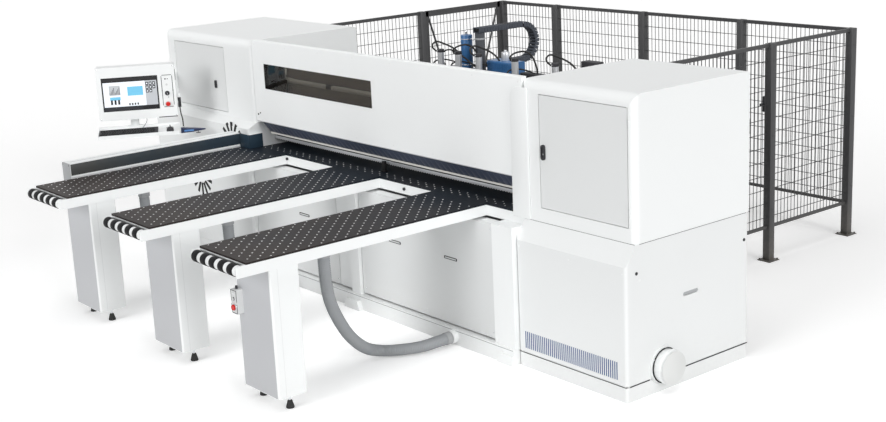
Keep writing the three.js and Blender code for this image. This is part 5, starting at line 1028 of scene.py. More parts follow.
class SAW_OT_buttons(bpy.types.Operator):
    """Face, outlines and collars of the button box, and the cap of its push button"""

    bl_idname = "saw.buttons"
    bl_label = "Button box"

    def execute(self, context):
        x, y, stop, press = -0.776, -1.694, 0.607, 0.661
        face = slab(at(x - 0.031, y - 0.0016, 0.568), at(x + 0.031, y, 0.716), 0.0012)
        finished("box_face", face, "pale_plastic")
        lines = []
        for low, high in ((-0.033, -0.029), (0.029, 0.033)):
            for z0, z1 in ((0.572, 0.628), (0.644, 0.712)):
                lines.append(slab(at(x + low, y - 0.0024, z0), at(x + high, y - 0.0006, z1), 0.0006, 1))
        lines.append(slab(at(x - 0.033, y - 0.0024, 0.712), at(x + 0.033, y - 0.0006, 0.716), 0.0006, 1))
        lines.append(slab(at(x - 0.026, y - 0.0024, 0.568), at(x + 0.026, y - 0.0006, 0.572), 0.0006, 1))
        lines.append(rod(at(x, y + 0.023, 0.72), at(x, y + 0.023, 0.74), 0.009, 8, 0.001))
        finished("box_lines", lines, "black_plastic")
        collars = [ring(at(x, y - 0.0016, z), (0, 1, 0), radius, 0.0022)
                   for z, radius in ((stop, 0.0218), (press, 0.0135))]
        collars.append(rod(at(x, y, 0.694), at(x, y - 0.0035, 0.694), 0.0065, 16, 0.001))
        finished("box_collars", collars, "bright_steel")
        cap = rod(at(x, y - 0.0072, press), at(x, y - 0.0085, press), 0.0098, 20, 0.0006)
        finished("press_cap", cap, "pale_plastic", "black_plastic", body="leg_button")
        return {"FINISHED"}


class SAW_OT_squaring(bpy.types.Operator):
    """Dark face, light edge strip, end cap, top slot and end plate of the squaring fence"""

    bl_idname = "saw.squaring"
    bl_label = "Squaring fence"

    def execute(self, context):
        right, front, back = -3.2843, -1.549, -0.0853
        face = slab(at(right - 0.0005, front + 0.004, 1.023), at(right + 0.0022, back, 1.108), 0.0008)
        finished("fence_face", face, "slate_board")
        lower = slab(at(right - 0.0005, front + 0.004, 1.0035), at(right + 0.0018, back, 1.0095), 0.0005, 1)
        finished("fence_strip", lower, "rail_silver")
        cap = slab(at(-3.4163, front - 0.003, 0.905), at(right, front + 0.0002, 1.113), 0.0015)
        spots = [(x, front - 0.0035, z) for x in (-3.4, -3.3) for z in (0.92, 1.098)]
        finished("fence_cap", cap, "grey_plastic", "aluminium")
        finished("fence_cap_screws", pegs(spots, (0, 0.0007, 0), 0.005, 12), "screw_dark", "steel")
        slot = slab(at(-3.352, front + 0.03, 1.1128), at(-3.344, back - 0.01, 1.1136), 0.0003, 1)
        finished("fence_slot", slot, "grip_grey", "aluminium")
        plate = slab(at(-3.1495, -0.085, 1.001), at(-3.137, 0.035, 1.111), 0.001)
        bridge = slab(at(right - 0.0005, -0.0905, 1.001), at(-3.1375, -0.0865, 1.111), 0.0008)
        finished("fence_end_plate", [plate, bridge], "slate_board")
        rim = slab(at(-3.1495, -0.085, 1.1112), at(-3.136, 0.035, 1.116), 0.0008)
        finished("fence_end_rim", rim, "white_coat")
        return {"FINISHED"}


# Beam, rails and curtain

CURTAIN_WIDTH, CURTAIN_TOP, CURTAIN_DROP, CURTAIN_LEAN, FLAP_GAP = 3.136, 1.222, 0.116, 0.086, 0.0015


class SAW_OT_curtain(bpy.types.Operator):
    """Curtain of flaps under the guard, rails of the pressure beam, table stop and bolts"""

    bl_idname = "saw.curtain"
    bl_label = "Curtain and rails"

    def execute(self, context):
        count = sizes().flap_count
        width = CURTAIN_WIDTH / count
        flap = slab(
            at(-3.143, 0.034, CURTAIN_TOP - CURTAIN_DROP),
            at(-3.143 + width - FLAP_GAP, 0.0385, CURTAIN_TOP), 0.001, 1)
        for vertex in flap.data.vertices:
            vertex.co.y += (CURTAIN_TOP - vertex.co.z) / CURTAIN_DROP * CURTAIN_LEAN
        finished("guard_curtain", arrayed(flap, count, (width, 0, 0)), "curtain_rubber")
        # The hem and the upper rail take the lightened cream: painted light.
        hem = slab(at(-3.143, 0.1175, 1.095), at(-0.007, 0.1235, 1.1125), 0.001, 1)
        finished("curtain_hem", hem, "rail_cream_painted_light")

        rails = [("rail_upper", "rail_cream_painted_light", 1.0895, 1.1165), ("rail_lower", "rail_silver", 1.046, 1.0728)]
        for name, finish, low, high in rails:
            halves = [slab(at(x0, 0.1562, low), at(x1, 0.1602, high), 0.0012)
                      for x0, x1 in ((-3.141, -1.709), (-1.701, -0.0085))]
            finished(name, halves, finish, body="pressure_beam")
        dot = slab(at(-3.139, 0.1545, 1.0465), at(-3.125, 0.1565, 1.0505), 0.0003, 1)
        dots = arrayed(dot, 120, (0.0261, 0, 0))
        finished("rail_dots", dots, "screw_dark", "aluminium", body="pressure_beam")
        recess = slab(at(-3.141, 0.1722, 1.0732), at(-0.0085, 0.1742, 1.0888), 0.0004, 1)
        finished("rail_recess", recess, "rail_dark", body="pressure_beam")
        screw = rod(at(-3.0, 0.1722, 1.081), at(-3.0, 0.168, 1.081), 0.005, 10, 0.0006)
        finished("rail_screws", arrayed(screw, 15, (0.208, 0, 0)), "bright_steel", body="pressure_beam")
        stop = [rod(at(-1.63, 0.118, 1.0005), at(-1.63, 0.118, 1.078), 0.018, 20, 0.003),
                rod(at(-1.63, 0.118, 1.0005), at(-1.63, 0.118, 1.012), 0.026, 20, 0.003)]
        finished("table_stop", stop, "screw_dark", "steel")
        bolts = [(-2.735, -0.0003, 0.962), (-1.245, -0.0003, 0.955)]
        finished("rail_bolts", pegs(bolts, (0, -0.0117, 0), 0.011, 16, 0.002), "black_plastic")
        return {"FINISHED"}


class SAW_OT_guard(bpy.types.Operator):
    """What shows behind the guard's window, and the guard's screws, lamps and trim"""

    bl_idname = "saw.guard"
    bl_label = "Guard"

    def execute(self, context):
        # Dark brown sheets at the window's left end: painted shade of the guard's inside.
        brown = [slab(at(-3.145, 0.112, 1.42), at(-2.86, 0.118, 1.72), 0.002),
                 slab(at(-3.149, 0.05, 1.42), at(-3.143, 0.118, 1.72), 0.001),
                 slab(at(-2.95, 0.1, 1.44), at(-2.83, 0.112, 1.56), 0.004)]
        finished("window_painted_shade", brown, "brown_painted_shade")
        grey = slab(at(-2.88, 0.1445, 1.4), at(-1.56, 0.1495, 1.72), 0.002)
        finished("window_backing", grey, "beam_taupe")
        lines = [slab(at(-2.79, 0.1385, low), at(-1.56, 0.1446, high), 0.001, 1)
                 for low, high in ((1.532, 1.54), (1.566, 1.572))]
        finished("window_lines", lines, "screw_dark")
        block = [slab(at(-2.312, 0.116, 1.538), at(-2.256, 0.1386, 1.566), 0.003),
                 slab(at(-2.33, 0.13, 1.566), at(-2.24, 0.139, 1.572), 0.001)]
        finished("window_switch", block, "black_plastic")
        screws = pegs([(-3.11, 0.005, z) for z in (1.25, 1.83)], (0, -0.0018, 0), 0.006, 10, 0.0006)
        finished("guard_screws", [arrayed(one, 8, (0.44, 0, 0)) for one in screws], "white_coat")
        marks = [rod(at(-3.12, 0.005, 1.272), at(-3.12, 0.0015, 1.272), 0.008, 14, 0.001),
                 rod(at(-3.09, 0.005, 1.285), at(-3.09, 0.0015, 1.285), 0.006, 14, 0.001)]
        finished("guard_lamps", marks, "screw_dark", "black_plastic")
        edge = slab(at(-3.148, 0.0035, 1.2155), at(-0.002, 0.0475, 1.2205), 0.001, 1)
        finished("guard_trim", edge, "rail_silver")
        return {"FINISHED"}


# Towers, cabinets and bed

# Left, right, front, back, low and high; the first two are seam lines, the last three are black strips in the
# plinth's gap as painted shade
SEAMS_AND_GAP_SHADE = [
    (0.006, 0.944, -0.0008, 0.0002, 0.9605, 0.963), (0.9498, 0.9508, 0.03, 1.0, 0.9605, 0.963),
    (0.9498, 0.9508, -0.06, 0.11, 0.0945, 0.1005), (0.9498, 0.9508, 0.34, 1.02, 0.0945, 0.1015),
    (0.006, 0.944, -0.0858, -0.0848, 0.0945, 0.0985)]
FLANGE_LEFT, FLANGE_TOP, FLANGE_CORNER = -0.1, 1.80, 0.075


def tower_flange():
    """The plate on the right tower's left front edge, with one large rounded corner."""
    flange = slab(at(FLANGE_LEFT, -0.011, 0.964), at(0.06, -0.0004, FLANGE_TOP))
    clear_choice(flange)
    corner = at(FLANGE_LEFT, 0, FLANGE_TOP)
    for edge in flange.data.edges:
        spots = [flange.data.vertices[v].co for v in edge.vertices]
        edge.select = all(abs(c.x - corner.x) < 0.001 and abs(c.z - corner.z) < 0.001 for c in spots)
    bpy.ops.object.mode_set(mode="EDIT")
    bpy.ops.mesh.select_mode(type="EDGE")
    bpy.ops.mesh.bevel(offset=FLANGE_CORNER, segments=8, affect="EDGES")
    bpy.ops.object.mode_set(mode="OBJECT")
    return bevelled(flange, 0.004, 3)


PORT_Y, PORT_Z, PORT_BOLTS = 0.231, 0.164, 0.1155
VENT_SLOTS = 14


class SAW_OT_towers(bpy.types.Operator):
    """Louvre, seams, flange, port cap, hinges, locks, screws and vents of the towers and cabinets; painted
    shade in the plinth's gap and vents
    """

    bl_idname = "saw.towers"
    bl_label = "Towers and cabinets"

    def execute(self, context):
        blade = slab(at(0.0624, -0.0854, 0.1315), at(0.0706, -0.08, 0.2425), 0.0003, 1)
        finished("louvre_blades", arrayed(blade, 47, (0.0174, 0, 0)), "louvre_blue")
        # Seam lines, and black strips in the plinth's gap: painted shade.
        lines = [slab(at(x0, y0, z0), at(x1, y1, z1)) for x0, x1, y0, y1, z0, z1 in SEAMS_AND_GAP_SHADE]
        finished("cabinet_seams_and_gap_shade", lines, "screw_dark")
        finished("tower_flange", tower_flange(), "white_coat")
        grip = slab(at(0.9405, 0.412, 0.553), at(0.9425, 0.548, 0.577), 0.0006, 1)
        finished("side_grip", grip, "grip_grey")
        plugs = []
        for y in (0.0025, 0.98):
            plugs += pegs([(0.9495, y, 0.79)], (0.004, 0, 0), 0.0105, 20, 0.0012)
            plugs += pegs([(0.9535, y, 0.79)], (0.0013, 0, 0), 0.006, 6, 0.0006)
        finished("side_plugs", plugs, "black_plastic")
        light = rod(at(0.95, 0.03, 0.745), at(0.9525, 0.03, 0.745), 0.009, 20, 0.001)
        finished("side_cap", light, "white_coat")

        port = [rod(at(1.0364, PORT_Y, PORT_Z), at(1.0371, PORT_Y, PORT_Z), 0.104, 40, 0.0002)]
        for turn in range(6):
            angle = math.radians(60 * turn + 30)
            spot = (0.964, PORT_Y + PORT_BOLTS * math.cos(angle), PORT_Z + PORT_BOLTS * math.sin(angle))
            port += pegs([spot], (0.004, 0, 0), 0.005, 6, 0.0006)
        finished("port_cap", port, "port_white")
        seal = ring(at(0.966, PORT_Y, PORT_Z), (1, 0, 0), 0.1085, 0.0035, 40, 8)
        finished("port_seals", seal, "screw_dark", "black_rubber")
        hinges = [(x, -0.0015, z) for x, z in (
            (0.9062, 1.12), (0.9062, 1.65), (-4.3975, 1.28), (-4.3975, 1.66))]
        finished("door_hinges", pegs(hinges, (0, 0, 0.05), 0.0052, 12, 0.001), "panel_coat")
        for side, x, z, radius in (("right", 0.19, 1.39856, 0.00714), ("left", -3.74, 1.44404, 0.00504)):
            lock = rod(at(x, -0.0075, z), at(x, -0.0045, z), radius, 16, 0.0006)
            finished(f"latch_lock_{side}", lock, "bright_steel", body=f"{side}_latch")
        screws = pegs([(x, -0.085, 0.16) for x in (-4.62, -4.0, -3.3)], (0, -0.0018, 0), 0.006, 10, 0.0006)
        screws += pegs([(x, -0.085, 0.8) for x in (0.03, 0.475, 0.92)], (0, -0.0018, 0), 0.0055, 10, 0.0006)
        finished("cabinet_screws", screws, "white_coat")
        # Dark strips laid flat on the face, larger than the cut slots: painted shade of the vents' openings.
        slots = []
        for x, z in ((-3.412, 1.018), (-3.974, 0.660)):
            for turn in range(VENT_SLOTS):
                slot = slab((-0.014, -0.0862, 0.066), (0.014, -0.08, 0.168))
                lean = Matrix.Rotation(math.tau * turn / VENT_SLOTS, 4, "Y")
                slot.data.transform(Matrix.Translation(at(x, 0, z)) @ lean)
                slots.append(slot)
        finished("vent_slot_shade", slots, "screw_dark")
        return {"FINISHED"}


class SAW_OT_bed(bpy.types.Operator):
    """Grips and screws of the bed's panels, the line of its base rail, its shims and the hose's clamp"""

    bl_idname = "saw.bed"
    bl_label = "Bed"

    def execute(self, context):
        grips, faces = [], []
        for x in (-0.655, -1.270, -2.410):
            grips.append(slab(at(x - 0.0665, -0.0925, 0.5755), at(x + 0.0665, -0.084, 0.5945)))
            faces.append(slab(at(x - 0.058, -0.0932, 0.580), at(x + 0.058, -0.0915, 0.590), 0.0005, 1))
        finished("panel_grips", grips, "screw_dark")
        finished("panel_grip_faces", faces, "pale_plastic")
        line = slab(at(-3.105, -0.1368, 0.1), at(-0.005, -0.1358, 0.1035))
        finished("base_line", line, "seam_grey")
        screws = [(x, -0.092, z) for x in (-0.235, -0.93, -1.65, -2.0, -3.07) for z in (0.16, 0.86)]
        finished("panel_screws", pegs(screws, (0, -0.0018, 0), 0.0055, 10, 0.0006), "bright_steel")
        feet = [(x, y, 0) for x in (-3.08, -1.74, -0.06) for y in (-0.08, 0.71)]
        finished("bed_shims", pegs(feet, (0, 0, 0.006), 0.036, 20, 0.001), "ground_steel")
        clamp = ring(at(-0.6, -0.163, 0.06), (0, 1, 0), 0.0475, 0.0026, 32, 8)
        finished("hose_clamp", clamp, "white_coat")
        return {"FINISHED"}


# Console

TRAY_EDGE, TRAY_TILT = (0, -0.302, 1.127), math.radians(7.5)
GUN_BACK, GUN_LENGTH, GUN_Y, GUN_AXIS = 0.366, 0.199, -0.11, 1.117
SCREEN_LOW, SCREEN_SIZE, SCREEN_FACE = (-0.228, 1.314), (0.439, 0.266), -0.0968


def to_console(piece):
    piece.data.transform(Matrix.Translation(at(*CONSOLE_PLACE)) @ CONSOLE_TURN)
    return piece


def to_tray(piece):
    edge = Matrix.Translation(TRAY_EDGE)
    piece.data.transform(edge @ Matrix.Rotation(TRAY_TILT, 4, "X") @ edge.inverted())
    return to_console(piece)


def on_console(name, parts, finish, slot=None, body="console", move=to_console):
    """A piece that is made in the console's own frame."""
    whole = joined(name, parts if isinstance(parts, list) else [parts])
    return finished(name, move(whole), finish, slot, body)


# Shapes on the screen: finish, then left, right, low and high as shares of its width and height
SCREEN = [
    ("screen_light", 0.015, 0.985, 0.12, 0.87), ("screen_bar", 0.0, 1.0, 0.87, 1.0),
    ("screen_dark", 0.0, 1.0, 0.0, 0.12), ("screen_bar", 0.70, 1.0, 0.02, 0.12),
    ("screen_panel", 0.775, 0.985, 0.12, 0.87), ("screen_grey", 0.12, 0.32, 0.475, 0.77),
    ("screen_blue", 0.45, 0.73, 0.44, 0.715), ("screen_blue", 0.125, 0.315, 0.325, 0.42)]
SCREEN_MARKS = (
    [(0.135 + 0.065 * i, 0.17 + 0.065 * i, 0.19, 0.335) for i in range(3)]
    + [(0.46 + 0.05 * i, 0.485 + 0.05 * i, 0.15, 0.215) for i in range(4)])
SCREEN_TILES = [(0.785 + 0.062 * i, 0.835 + 0.062 * i, 0.73 - 0.115 * j, 0.83 - 0.115 * j)
                for i in range(3) for j in range(3) if (i, j) != (2, 2)]


STRIP_BARS = [
    (0.243, 0.2475, 1.334, 1.448), (0.243, 0.2475, 1.458, 1.572), (0.3285, 0.333, 1.334, 1.448),
    (0.3285, 0.333, 1.458, 1.572), (0.25, 0.326, 1.577, 1.5815), (0.25, 0.326, 1.3185, 1.323)]
KEY_PITCH, KEY_DEPTH, KEY_SHIFTS = 0.0203, 0.0205, (0, 0.004, 0.008, 0.012, 0.004, 0)


def screen_tile(left, right, low, high, lift, edge=0.0004):
    """A flat mark in front of the screen, between shares of its width and height."""
    (x, z), (width, height) = SCREEN_LOW, SCREEN_SIZE
    return slab(
        (x + width * left, SCREEN_FACE - 0.0002 - lift, z + height * low),
        (x + width * right, SCREEN_FACE, z + height * high), edge, 1)


def key_rows():
    """Six rows of keys; the first has a long key between its short ones."""
    keys = []
    for row, shift in enumerate(KEY_SHIFTS):
        key = slab(
            (-0.268 + shift, -0.288 + row * KEY_DEPTH, 1.149),
            (-0.2514 + shift, -0.271 + row * KEY_DEPTH, 1.1563), 0.002, 1)
        keys.append(arrayed(key, 21 if row else 3, (KEY_PITCH, 0, 0)))
        if row == 0:
            keys.append(slab((-0.2, -0.288, 1.149), (-0.075, -0.271, 1.156), 0.002, 1))
            far = slab((-0.07, -0.288, 1.149), (-0.0534, -0.271, 1.1563), 0.002, 1)
            keys.append(arrayed(far, 11, (KEY_PITCH, 0, 0)))
    return keys


class SAW_OT_console(bpy.types.Operator):
    """Screen contents, switch strip, keyboard, pointer, air grip and gun of the console"""

    bl_idname = "saw.console"
    bl_label = "Console"

    def execute(self, context):
        for index, (finish, *shares) in enumerate(SCREEN):
            on_console(f"screen_{index}", screen_tile(*shares, 0.0003 + 0.0002 * index), finish)
        lines = [screen_tile(0.13 + 0.024 * i, 0.138 + 0.024 * i, 0.49, 0.56 + 0.05 * (i % 4), 0.0021)
                 for i in range(8)]
        on_console("screen_chart", lines, "screen_bar")
        marks = [screen_tile(*m, 0.0022) for m in SCREEN_MARKS + SCREEN_TILES]
        on_console("screen_marks", marks, "screen_dark")
        icons = [screen_tile(a + 0.014, b - 0.014, c + 0.03, d - 0.03, 0.0026, 0.0)
                 for a, b, c, d in SCREEN_TILES]
        on_console("screen_icons", icons, "screen_light")
        bars = [slab((x0, -0.1012, z0), (x1, SCREEN_FACE, z1), 0.0008, 1) for x0, x1, z0, z1 in (
            (-0.232, -0.2265, 1.31, 1.584), (0.2095, 0.215, 1.31, 1.584), (-0.232, 0.215, 1.578, 1.584),
            (-0.232, 0.215, 1.31, 1.316))]
        on_console("screen_frame", bars, "screw_dark", "black_plastic")

        strip = [slab((x0, -0.1012, z0), (x1, -0.0995, z1), 0.0004, 1) for x0, x1, z0, z1 in STRIP_BARS]
        strip += [rod((x, -0.0995, 1.453), (x, -0.1018, 1.453), 0.0045, 12) for x in (0.245, 0.331)]
        for x, z, radius in ((0.276, 1.548, 0.006), (0.294, 1.548, 0.004), (0.292, 1.3985, 0.0032)):
            strip.append(rod((x, -0.0995, z), (x, -0.102, z), radius, 12, 0.0005))
        strip.append(slab((0.3535, -0.078, 1.53), (0.3575, -0.07, 1.62), 0.0015))
        strip.append(slab((0.2, -0.1015, 1.2355), (0.352, -0.094, 1.2425), 0.001, 1))
        on_console("switch_strip", strip, "black_plastic")
        collar = [rod((0.284, -0.105, 1.432), (0.284, -0.1125, 1.432), 0.0165, 24, 0.002),
                  ring((0.284, -0.106, 1.432), (0, 1, 0), 0.0175, 0.0018, 28, 6)]
        on_console("key_collar", collar, "black_plastic")
        plate = rod((0.284, -0.0998, 1.344), (0.284, -0.1022, 1.344), 0.0245, 28, 0.0006)
        on_console("stop_plate", plate, "pale_plastic", "white_paint")
        lamp = rod((0.284, -0.0998, 1.502), (0.284, -0.1045, 1.502), 0.009, 20, 0.001)
        on_console("strip_lamp", lamp, "pale_plastic", "white_paint")

        on_console("keyboard_keys", key_rows(), "key_black", move=to_tray)
        rim = [slab((-0.2745, -0.2945, 1.1325), (0.1885, -0.2915, 1.151), 0.001, 1),
               slab((-0.2745, -0.1545, 1.1325), (0.1885, -0.1515, 1.154), 0.001, 1)]
        on_console("keyboard_rim", rim, "black_plastic", move=to_tray)
        tray = [slab((-0.2875, -0.3055, 1.124), (0.3635, -0.2985, 1.131), 0.002),
                slab((-0.284, -0.3035, 1.1295), (0.36, -0.3025, 1.1515), 0.0004, 1)]
        on_console("tray_lip", tray, "console_coat", move=to_tray)
        wheel = [rod((0.2805, -0.172, 1.161), (0.2875, -0.172, 1.161), 0.0075, 16, 0.001),
                 ring((0.284, -0.2, 1.151), (0, 0, 1), 0.0282, 0.0012, 28, 6)]
        on_console("mouse_wheel", wheel, "black_rubber", "black_plastic", "mouse", to_tray)

        wedge = on_console("gun_body", gun_body(), "gun_navy")
        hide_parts("blow_gun")
        stripe = slab((0.392, -0.1325, 1.110), (0.47, -0.1295, 1.124), 0.001)
        on_console("gun_stripe", stripe, "gun_blue")
        fittings = [rod((0.388, GUN_Y, 1.1375), (0.388, GUN_Y, 1.152), 0.0085, 6, 0.001),
                    rod((0.545, GUN_Y, GUN_AXIS), (0.561, GUN_Y, GUN_AXIS), 0.0045, 12, 0.0, 0.0028)]
        on_console("gun_fittings", fittings, "bright_steel")
        grip = [rod((0.372, -0.04, 1.3005), (0.372, -0.04, 1.3785), 0.0128, 20, 0.003),
                rod((0.372, -0.04, 1.3785), (0.372, -0.04, 1.4165), 0.0128, 20, 0.0, 0.005)]
        grip += [ring((0.372, -0.04, z), (0, 0, 1), 0.0126, 0.0012, 20, 6)
                 for z in (1.32, 1.335, 1.35, 1.365)]
        on_console("air_grip", grip, "black_plastic")
        screws = [rod((x, -0.1, z), (x, -0.1015, z), 0.0045, 10, 0.0005)
                  for x in (-0.258, 0.340) for z in (1.25, 1.653)]
        on_console("console_screws", screws, "bright_steel")
        vents = [slab((-0.2 + 0.012 * i, 0.0218, 1.55), (-0.195 + 0.012 * i, 0.0228, 1.61), 0.0004, 1)
                 for i in range(34)]
        on_console("console_vents", vents, "screw_dark")
        return {"FINISHED"}


def gun_body():
    """The air gun: a flat wedge that narrows to its nozzle."""
    body = slab((GUN_BACK, -0.134, 1.1005), (GUN_BACK + GUN_LENGTH, -0.086, 1.144))
    only(body)
    bpy.ops.object.mode_set(mode="EDIT")
    bpy.ops.mesh.select_all(action="SELECT")
    bpy.ops.mesh.subdivide(number_cuts=3)
    bpy.ops.mesh.select_all(action="DESELECT")
    bpy.ops.object.mode_set(mode="OBJECT")
    for vertex in body.data.vertices:
        share = max(0.0, (vertex.co.x - GUN_BACK) / GUN_LENGTH)
        slim = 1 - 0.78 * share ** 1.3
        vertex.co.y = GUN_Y + (vertex.co.y - GUN_Y) * slim
        vertex.co.z = GUN_AXIS + (vertex.co.z - GUN_AXIS - 0.002) * slim
    return bevelled(body, 0.002, 2, 0.5)


# Pusher

CHAIN_X, CHAIN_Z = -2.48, 1.7783
CHAIN_REAR, CHAIN_BEND, CHAIN_STEP, CHAIN_TURNS = 2.26, 0.15, 0.0305, 15
CYLINDER_Y, VALVE_FOOT = 1.624, 1.4155


def chain_route():
    """Places and slopes of the cable chain's links: out, round and back."""
    places = []
    y = 1.775
    while y < CHAIN_REAR:
        places.append((y, CHAIN_Z, 0.0))
        y += CHAIN_STEP
    for k in range(CHAIN_TURNS):
        angle = math.pi * (k + 0.5) / CHAIN_TURNS
        rise = CHAIN_BEND * (math.cos(angle) - 1)
        places.append((CHAIN_REAR + CHAIN_BEND * math.sin(angle), CHAIN_Z + rise, angle))
    y = 2.25
    while y > 1.86:
        places.append((y, CHAIN_Z - 2 * CHAIN_BEND, math.pi))
        y -= CHAIN_STEP
    return places


def chain_cable(x):
    """A cable that follows the chain, beside its middle."""
    places = (
        (1.77, 0), (2.26, 0), (2.366, -0.044), (2.41, -0.15), (2.366, -0.256), (2.26, -0.3), (1.87, -0.3))
    return tube("cable", [at(CHAIN_X + x, y, CHAIN_Z + drop) for y, drop in places], 0.008, 8, 6)


def chain_link():
    """One link: two side plates, a bridge above and one below."""
    half, height, length = 0.0418, 0.0225, 0.0145
    parts = [
        slab((-half, -length, -height), (-half + 0.007, length, height), 0.003),
        slab((half - 0.007, -length, -height), (half, length, height), 0.003),
        slab((-half, -length * 0.62, height - 0.006), (half, length * 0.62, height - 0.001), 0.0012),
        slab((-half, -length * 0.62, -height + 0.001), (half, length * 0.62, -height + 0.006), 0.0012),
    ]
    return joined("link", parts)


def on_pusher(name, parts, finish, angle=0.6):
    return finished(name, parts, finish, body="pusher", angle=angle)


def loop(name, radius, points):
    """An air line of the pusher."""
    return on_pusher(name, tube(name, [at(*p) for p in points], radius, 8, 8), "black_rubber", 1.2)


class SAW_OT_pusher(bpy.types.Operator):
    """Cylinders, valves, air lines, tank, drive and cable chain of the pusher"""

    bl_idname = "saw.pusher"
    bl_label = "Pusher"

    def execute(self, context):
        base = chain_link()
        links = []
        for y, z, angle in chain_route():
            twin = base.copy()
            twin.data = base.data.copy()
            context.collection.objects.link(twin)
            twin.data.transform(Matrix.Translation(at(CHAIN_X, y, z)) @ Matrix.Rotation(-angle, 4, "X"))
            links.append(twin)
        bpy.data.objects.remove(base)
        chain = on_pusher("chain_links", links, "chain_plastic")
        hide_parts("cable_chain")
        on_pusher("chain_cables", [chain_cable(x) for x in (-0.02, 0.0, 0.02)], "black_rubber", 1.2)

        silver, black, steel = [], [], []
        for x in GRIPPERS:
            y = CYLINDER_Y
            silver += pegs([(x, y, VALVE_FOOT)], (0, 0, 0.1765), 0.0278, 24)
            black += pegs([(x, y, 1.592)], (0, 0, 0.026), 0.0305, 24, 0.003)
            black += pegs([(x, y, VALVE_FOOT)], (0, 0, 0.0185), 0.0305, 24, 0.003)
            steel += pegs([(x, 1.598, 1.605), (x, 1.598, 1.43)], (0, -0.018, 0), 0.006, 8, 0.001)
            black.append(slab(at(x - 0.0345, 1.5805, 1.0385), at(x + 0.0345, 1.742, 1.041), 0.0006, 1))
            black.append(slab(at(x + 0.045, 1.77, VALVE_FOOT), at(x + 0.095, 1.83, 1.47), 0.003))
        on_pusher("gripper_cylinders", silver, "rail_silver")
        on_pusher("gripper_elbows", steel, "bright_steel")
        on_pusher("gripper_valves", black, "black_plastic")
        for index, x in enumerate(GRIPPERS):
            lean = 0.06 if index % 2 else -0.05
            loop(f"air_line_{index}", 0.0078, [
                (x, 1.58, 1.605), (x + lean * 0.4, 1.556, 1.64), (x + lean, 1.6, 1.672),
                (x + lean * 1.3, 1.7, 1.655), (x + 0.075, 1.78, 1.55), (x + 0.07, 1.8, 1.47)])
            loop(f"air_line_low_{index}", 0.0065, [
                (x, 1.58, 1.43), (x - 0.01, 1.556, 1.455), (x - 0.035, 1.57, 1.5), (x - 0.05, 1.66, 1.52),
                (x - 0.02, 1.76, 1.5), (x + 0.055, 1.8, 1.47)])
        loop("air_line_cross", 0.007, [
            (-2.93, 1.8, 1.42), (-2.92, 1.74, 1.53), (-2.8, 1.72, 1.6), (-2.62, 1.73, 1.55),
            (-2.45, 1.74, 1.47), (-2.4, 1.78, 1.44)])
        tank = [rod(at(-2.655, 1.8, 1.441), at(-2.655, 1.8, 1.727), 0.05, 28, 0.004),
                slab(at(-2.705, 1.75, 1.4152), at(-2.605, 1.85, 1.443), 0.003)]
        on_pusher("tank", tank, "blue_coat")
        bands = [rod(at(-2.655, 1.8, 1.727), at(-2.655, 1.8, 1.762), 0.012, 16, 0.002)]
        bands += [ring(at(-2.655, 1.8, z), (0, 0, 1), 0.0505, 0.003, 28, 6) for z in (1.695, 1.48)]
        on_pusher("tank_bands", bands, "bright_steel")
        boxes = [slab(at(-1.955, 1.762, VALVE_FOOT), at(-1.73, 1.84, 1.475), 0.004),
                 slab(at(-1.268, 1.77, 1.56), at(-1.1, 1.85, 1.625), 0.004),
                 slab(at(-1.2, 1.8, VALVE_FOOT), at(-1.165, 1.815, 1.562), 0.002),
                 rod(at(-0.8, 1.8, VALVE_FOOT), at(-0.8, 1.8, 1.6), 0.014, 16),
                 dome(at(-0.8, 1.8, 1.6), 0.034, (1, 1, 0.85), 10, 20)]
        on_pusher("pusher_boxes", boxes, "black_plastic")
        cover = [rod(at(-2.19, 1.82, 1.5458), at(-2.19, 1.82, 1.6158), 0.0346, 28, 0.002),
                 rod(at(-2.19, 1.82, 1.6158), at(-2.19, 1.82, 1.632), 0.012, 16, 0.001)]
        cover += [slab(at(x, 1.752, 1.5453), at(x + 0.012, 1.764, 1.5513), 0.001, 1) for x in (-2.33, -2.05)]
        on_pusher("drive_cap", cover, "rail_silver")
        fins = slab(at(-2.335, 1.7415, 1.43), at(-2.325, 1.7452, 1.53), 0.001, 1)
        on_pusher("drive_fins", arrayed(fins, 14, (0.0215, 0, 0)), "blue_coat")
        collars = [rod(at(CHAIN_X, 1.8, VALVE_FOOT), at(CHAIN_X, 1.8, 1.43), 0.056, 28, 0.003),
                   rod(at(CHAIN_X, 1.8, 1.7), at(CHAIN_X, 1.8, 1.715), 0.0445, 28, 0.002)]
        on_pusher("chain_post_collars", collars, "grey_plastic")
        plates = [slab(at(x - 0.03, 1.7435, 1.3), at(x + 0.03, 1.7455, 1.38), 0.001, 1)
                  for x in (-0.55, -1.0, -1.6)]
        on_pusher("pusher_covers", plates, "grey_plastic")
        wheels = [(x, y, 0.9675) for x in (-3.1115, -1.0675) for y in (1.78, 2.06)]
        on_pusher("pusher_wheels", pegs(wheels, (0.012, 0, 0), 0.013, 20, 0.002), "ground_steel")
        return {"FINISHED"}


# Rear table and what lies behind the guard

COVER_BACK = 1.0266
# Left, right, low and high of the cover plates, and of their screws
REAR_COVERS = [
    (0.06, 0.89, 0.2, 0.9), (-4.6, -3.25, 0.2, 1.14), (0.08, 0.87, 1.04, 1.76), (-4.46, -3.24, 1.26, 1.76)]
REAR_SCREWS = [
    (0.08, 0.87, 0.22, 0.88), (-4.58, -3.27, 0.22, 1.12), (0.1, 0.85, 1.06, 1.74), (-4.44, -3.26, 1.28, 1.74)]
REAR_FEET = [(x, y) for x in (-3.0747, -1.085) for y in (0.94, 3.38)]
TRACK_FIRST, TRACK_LAST, TRACK_PITCH = -2.9797, -1.234, 0.06


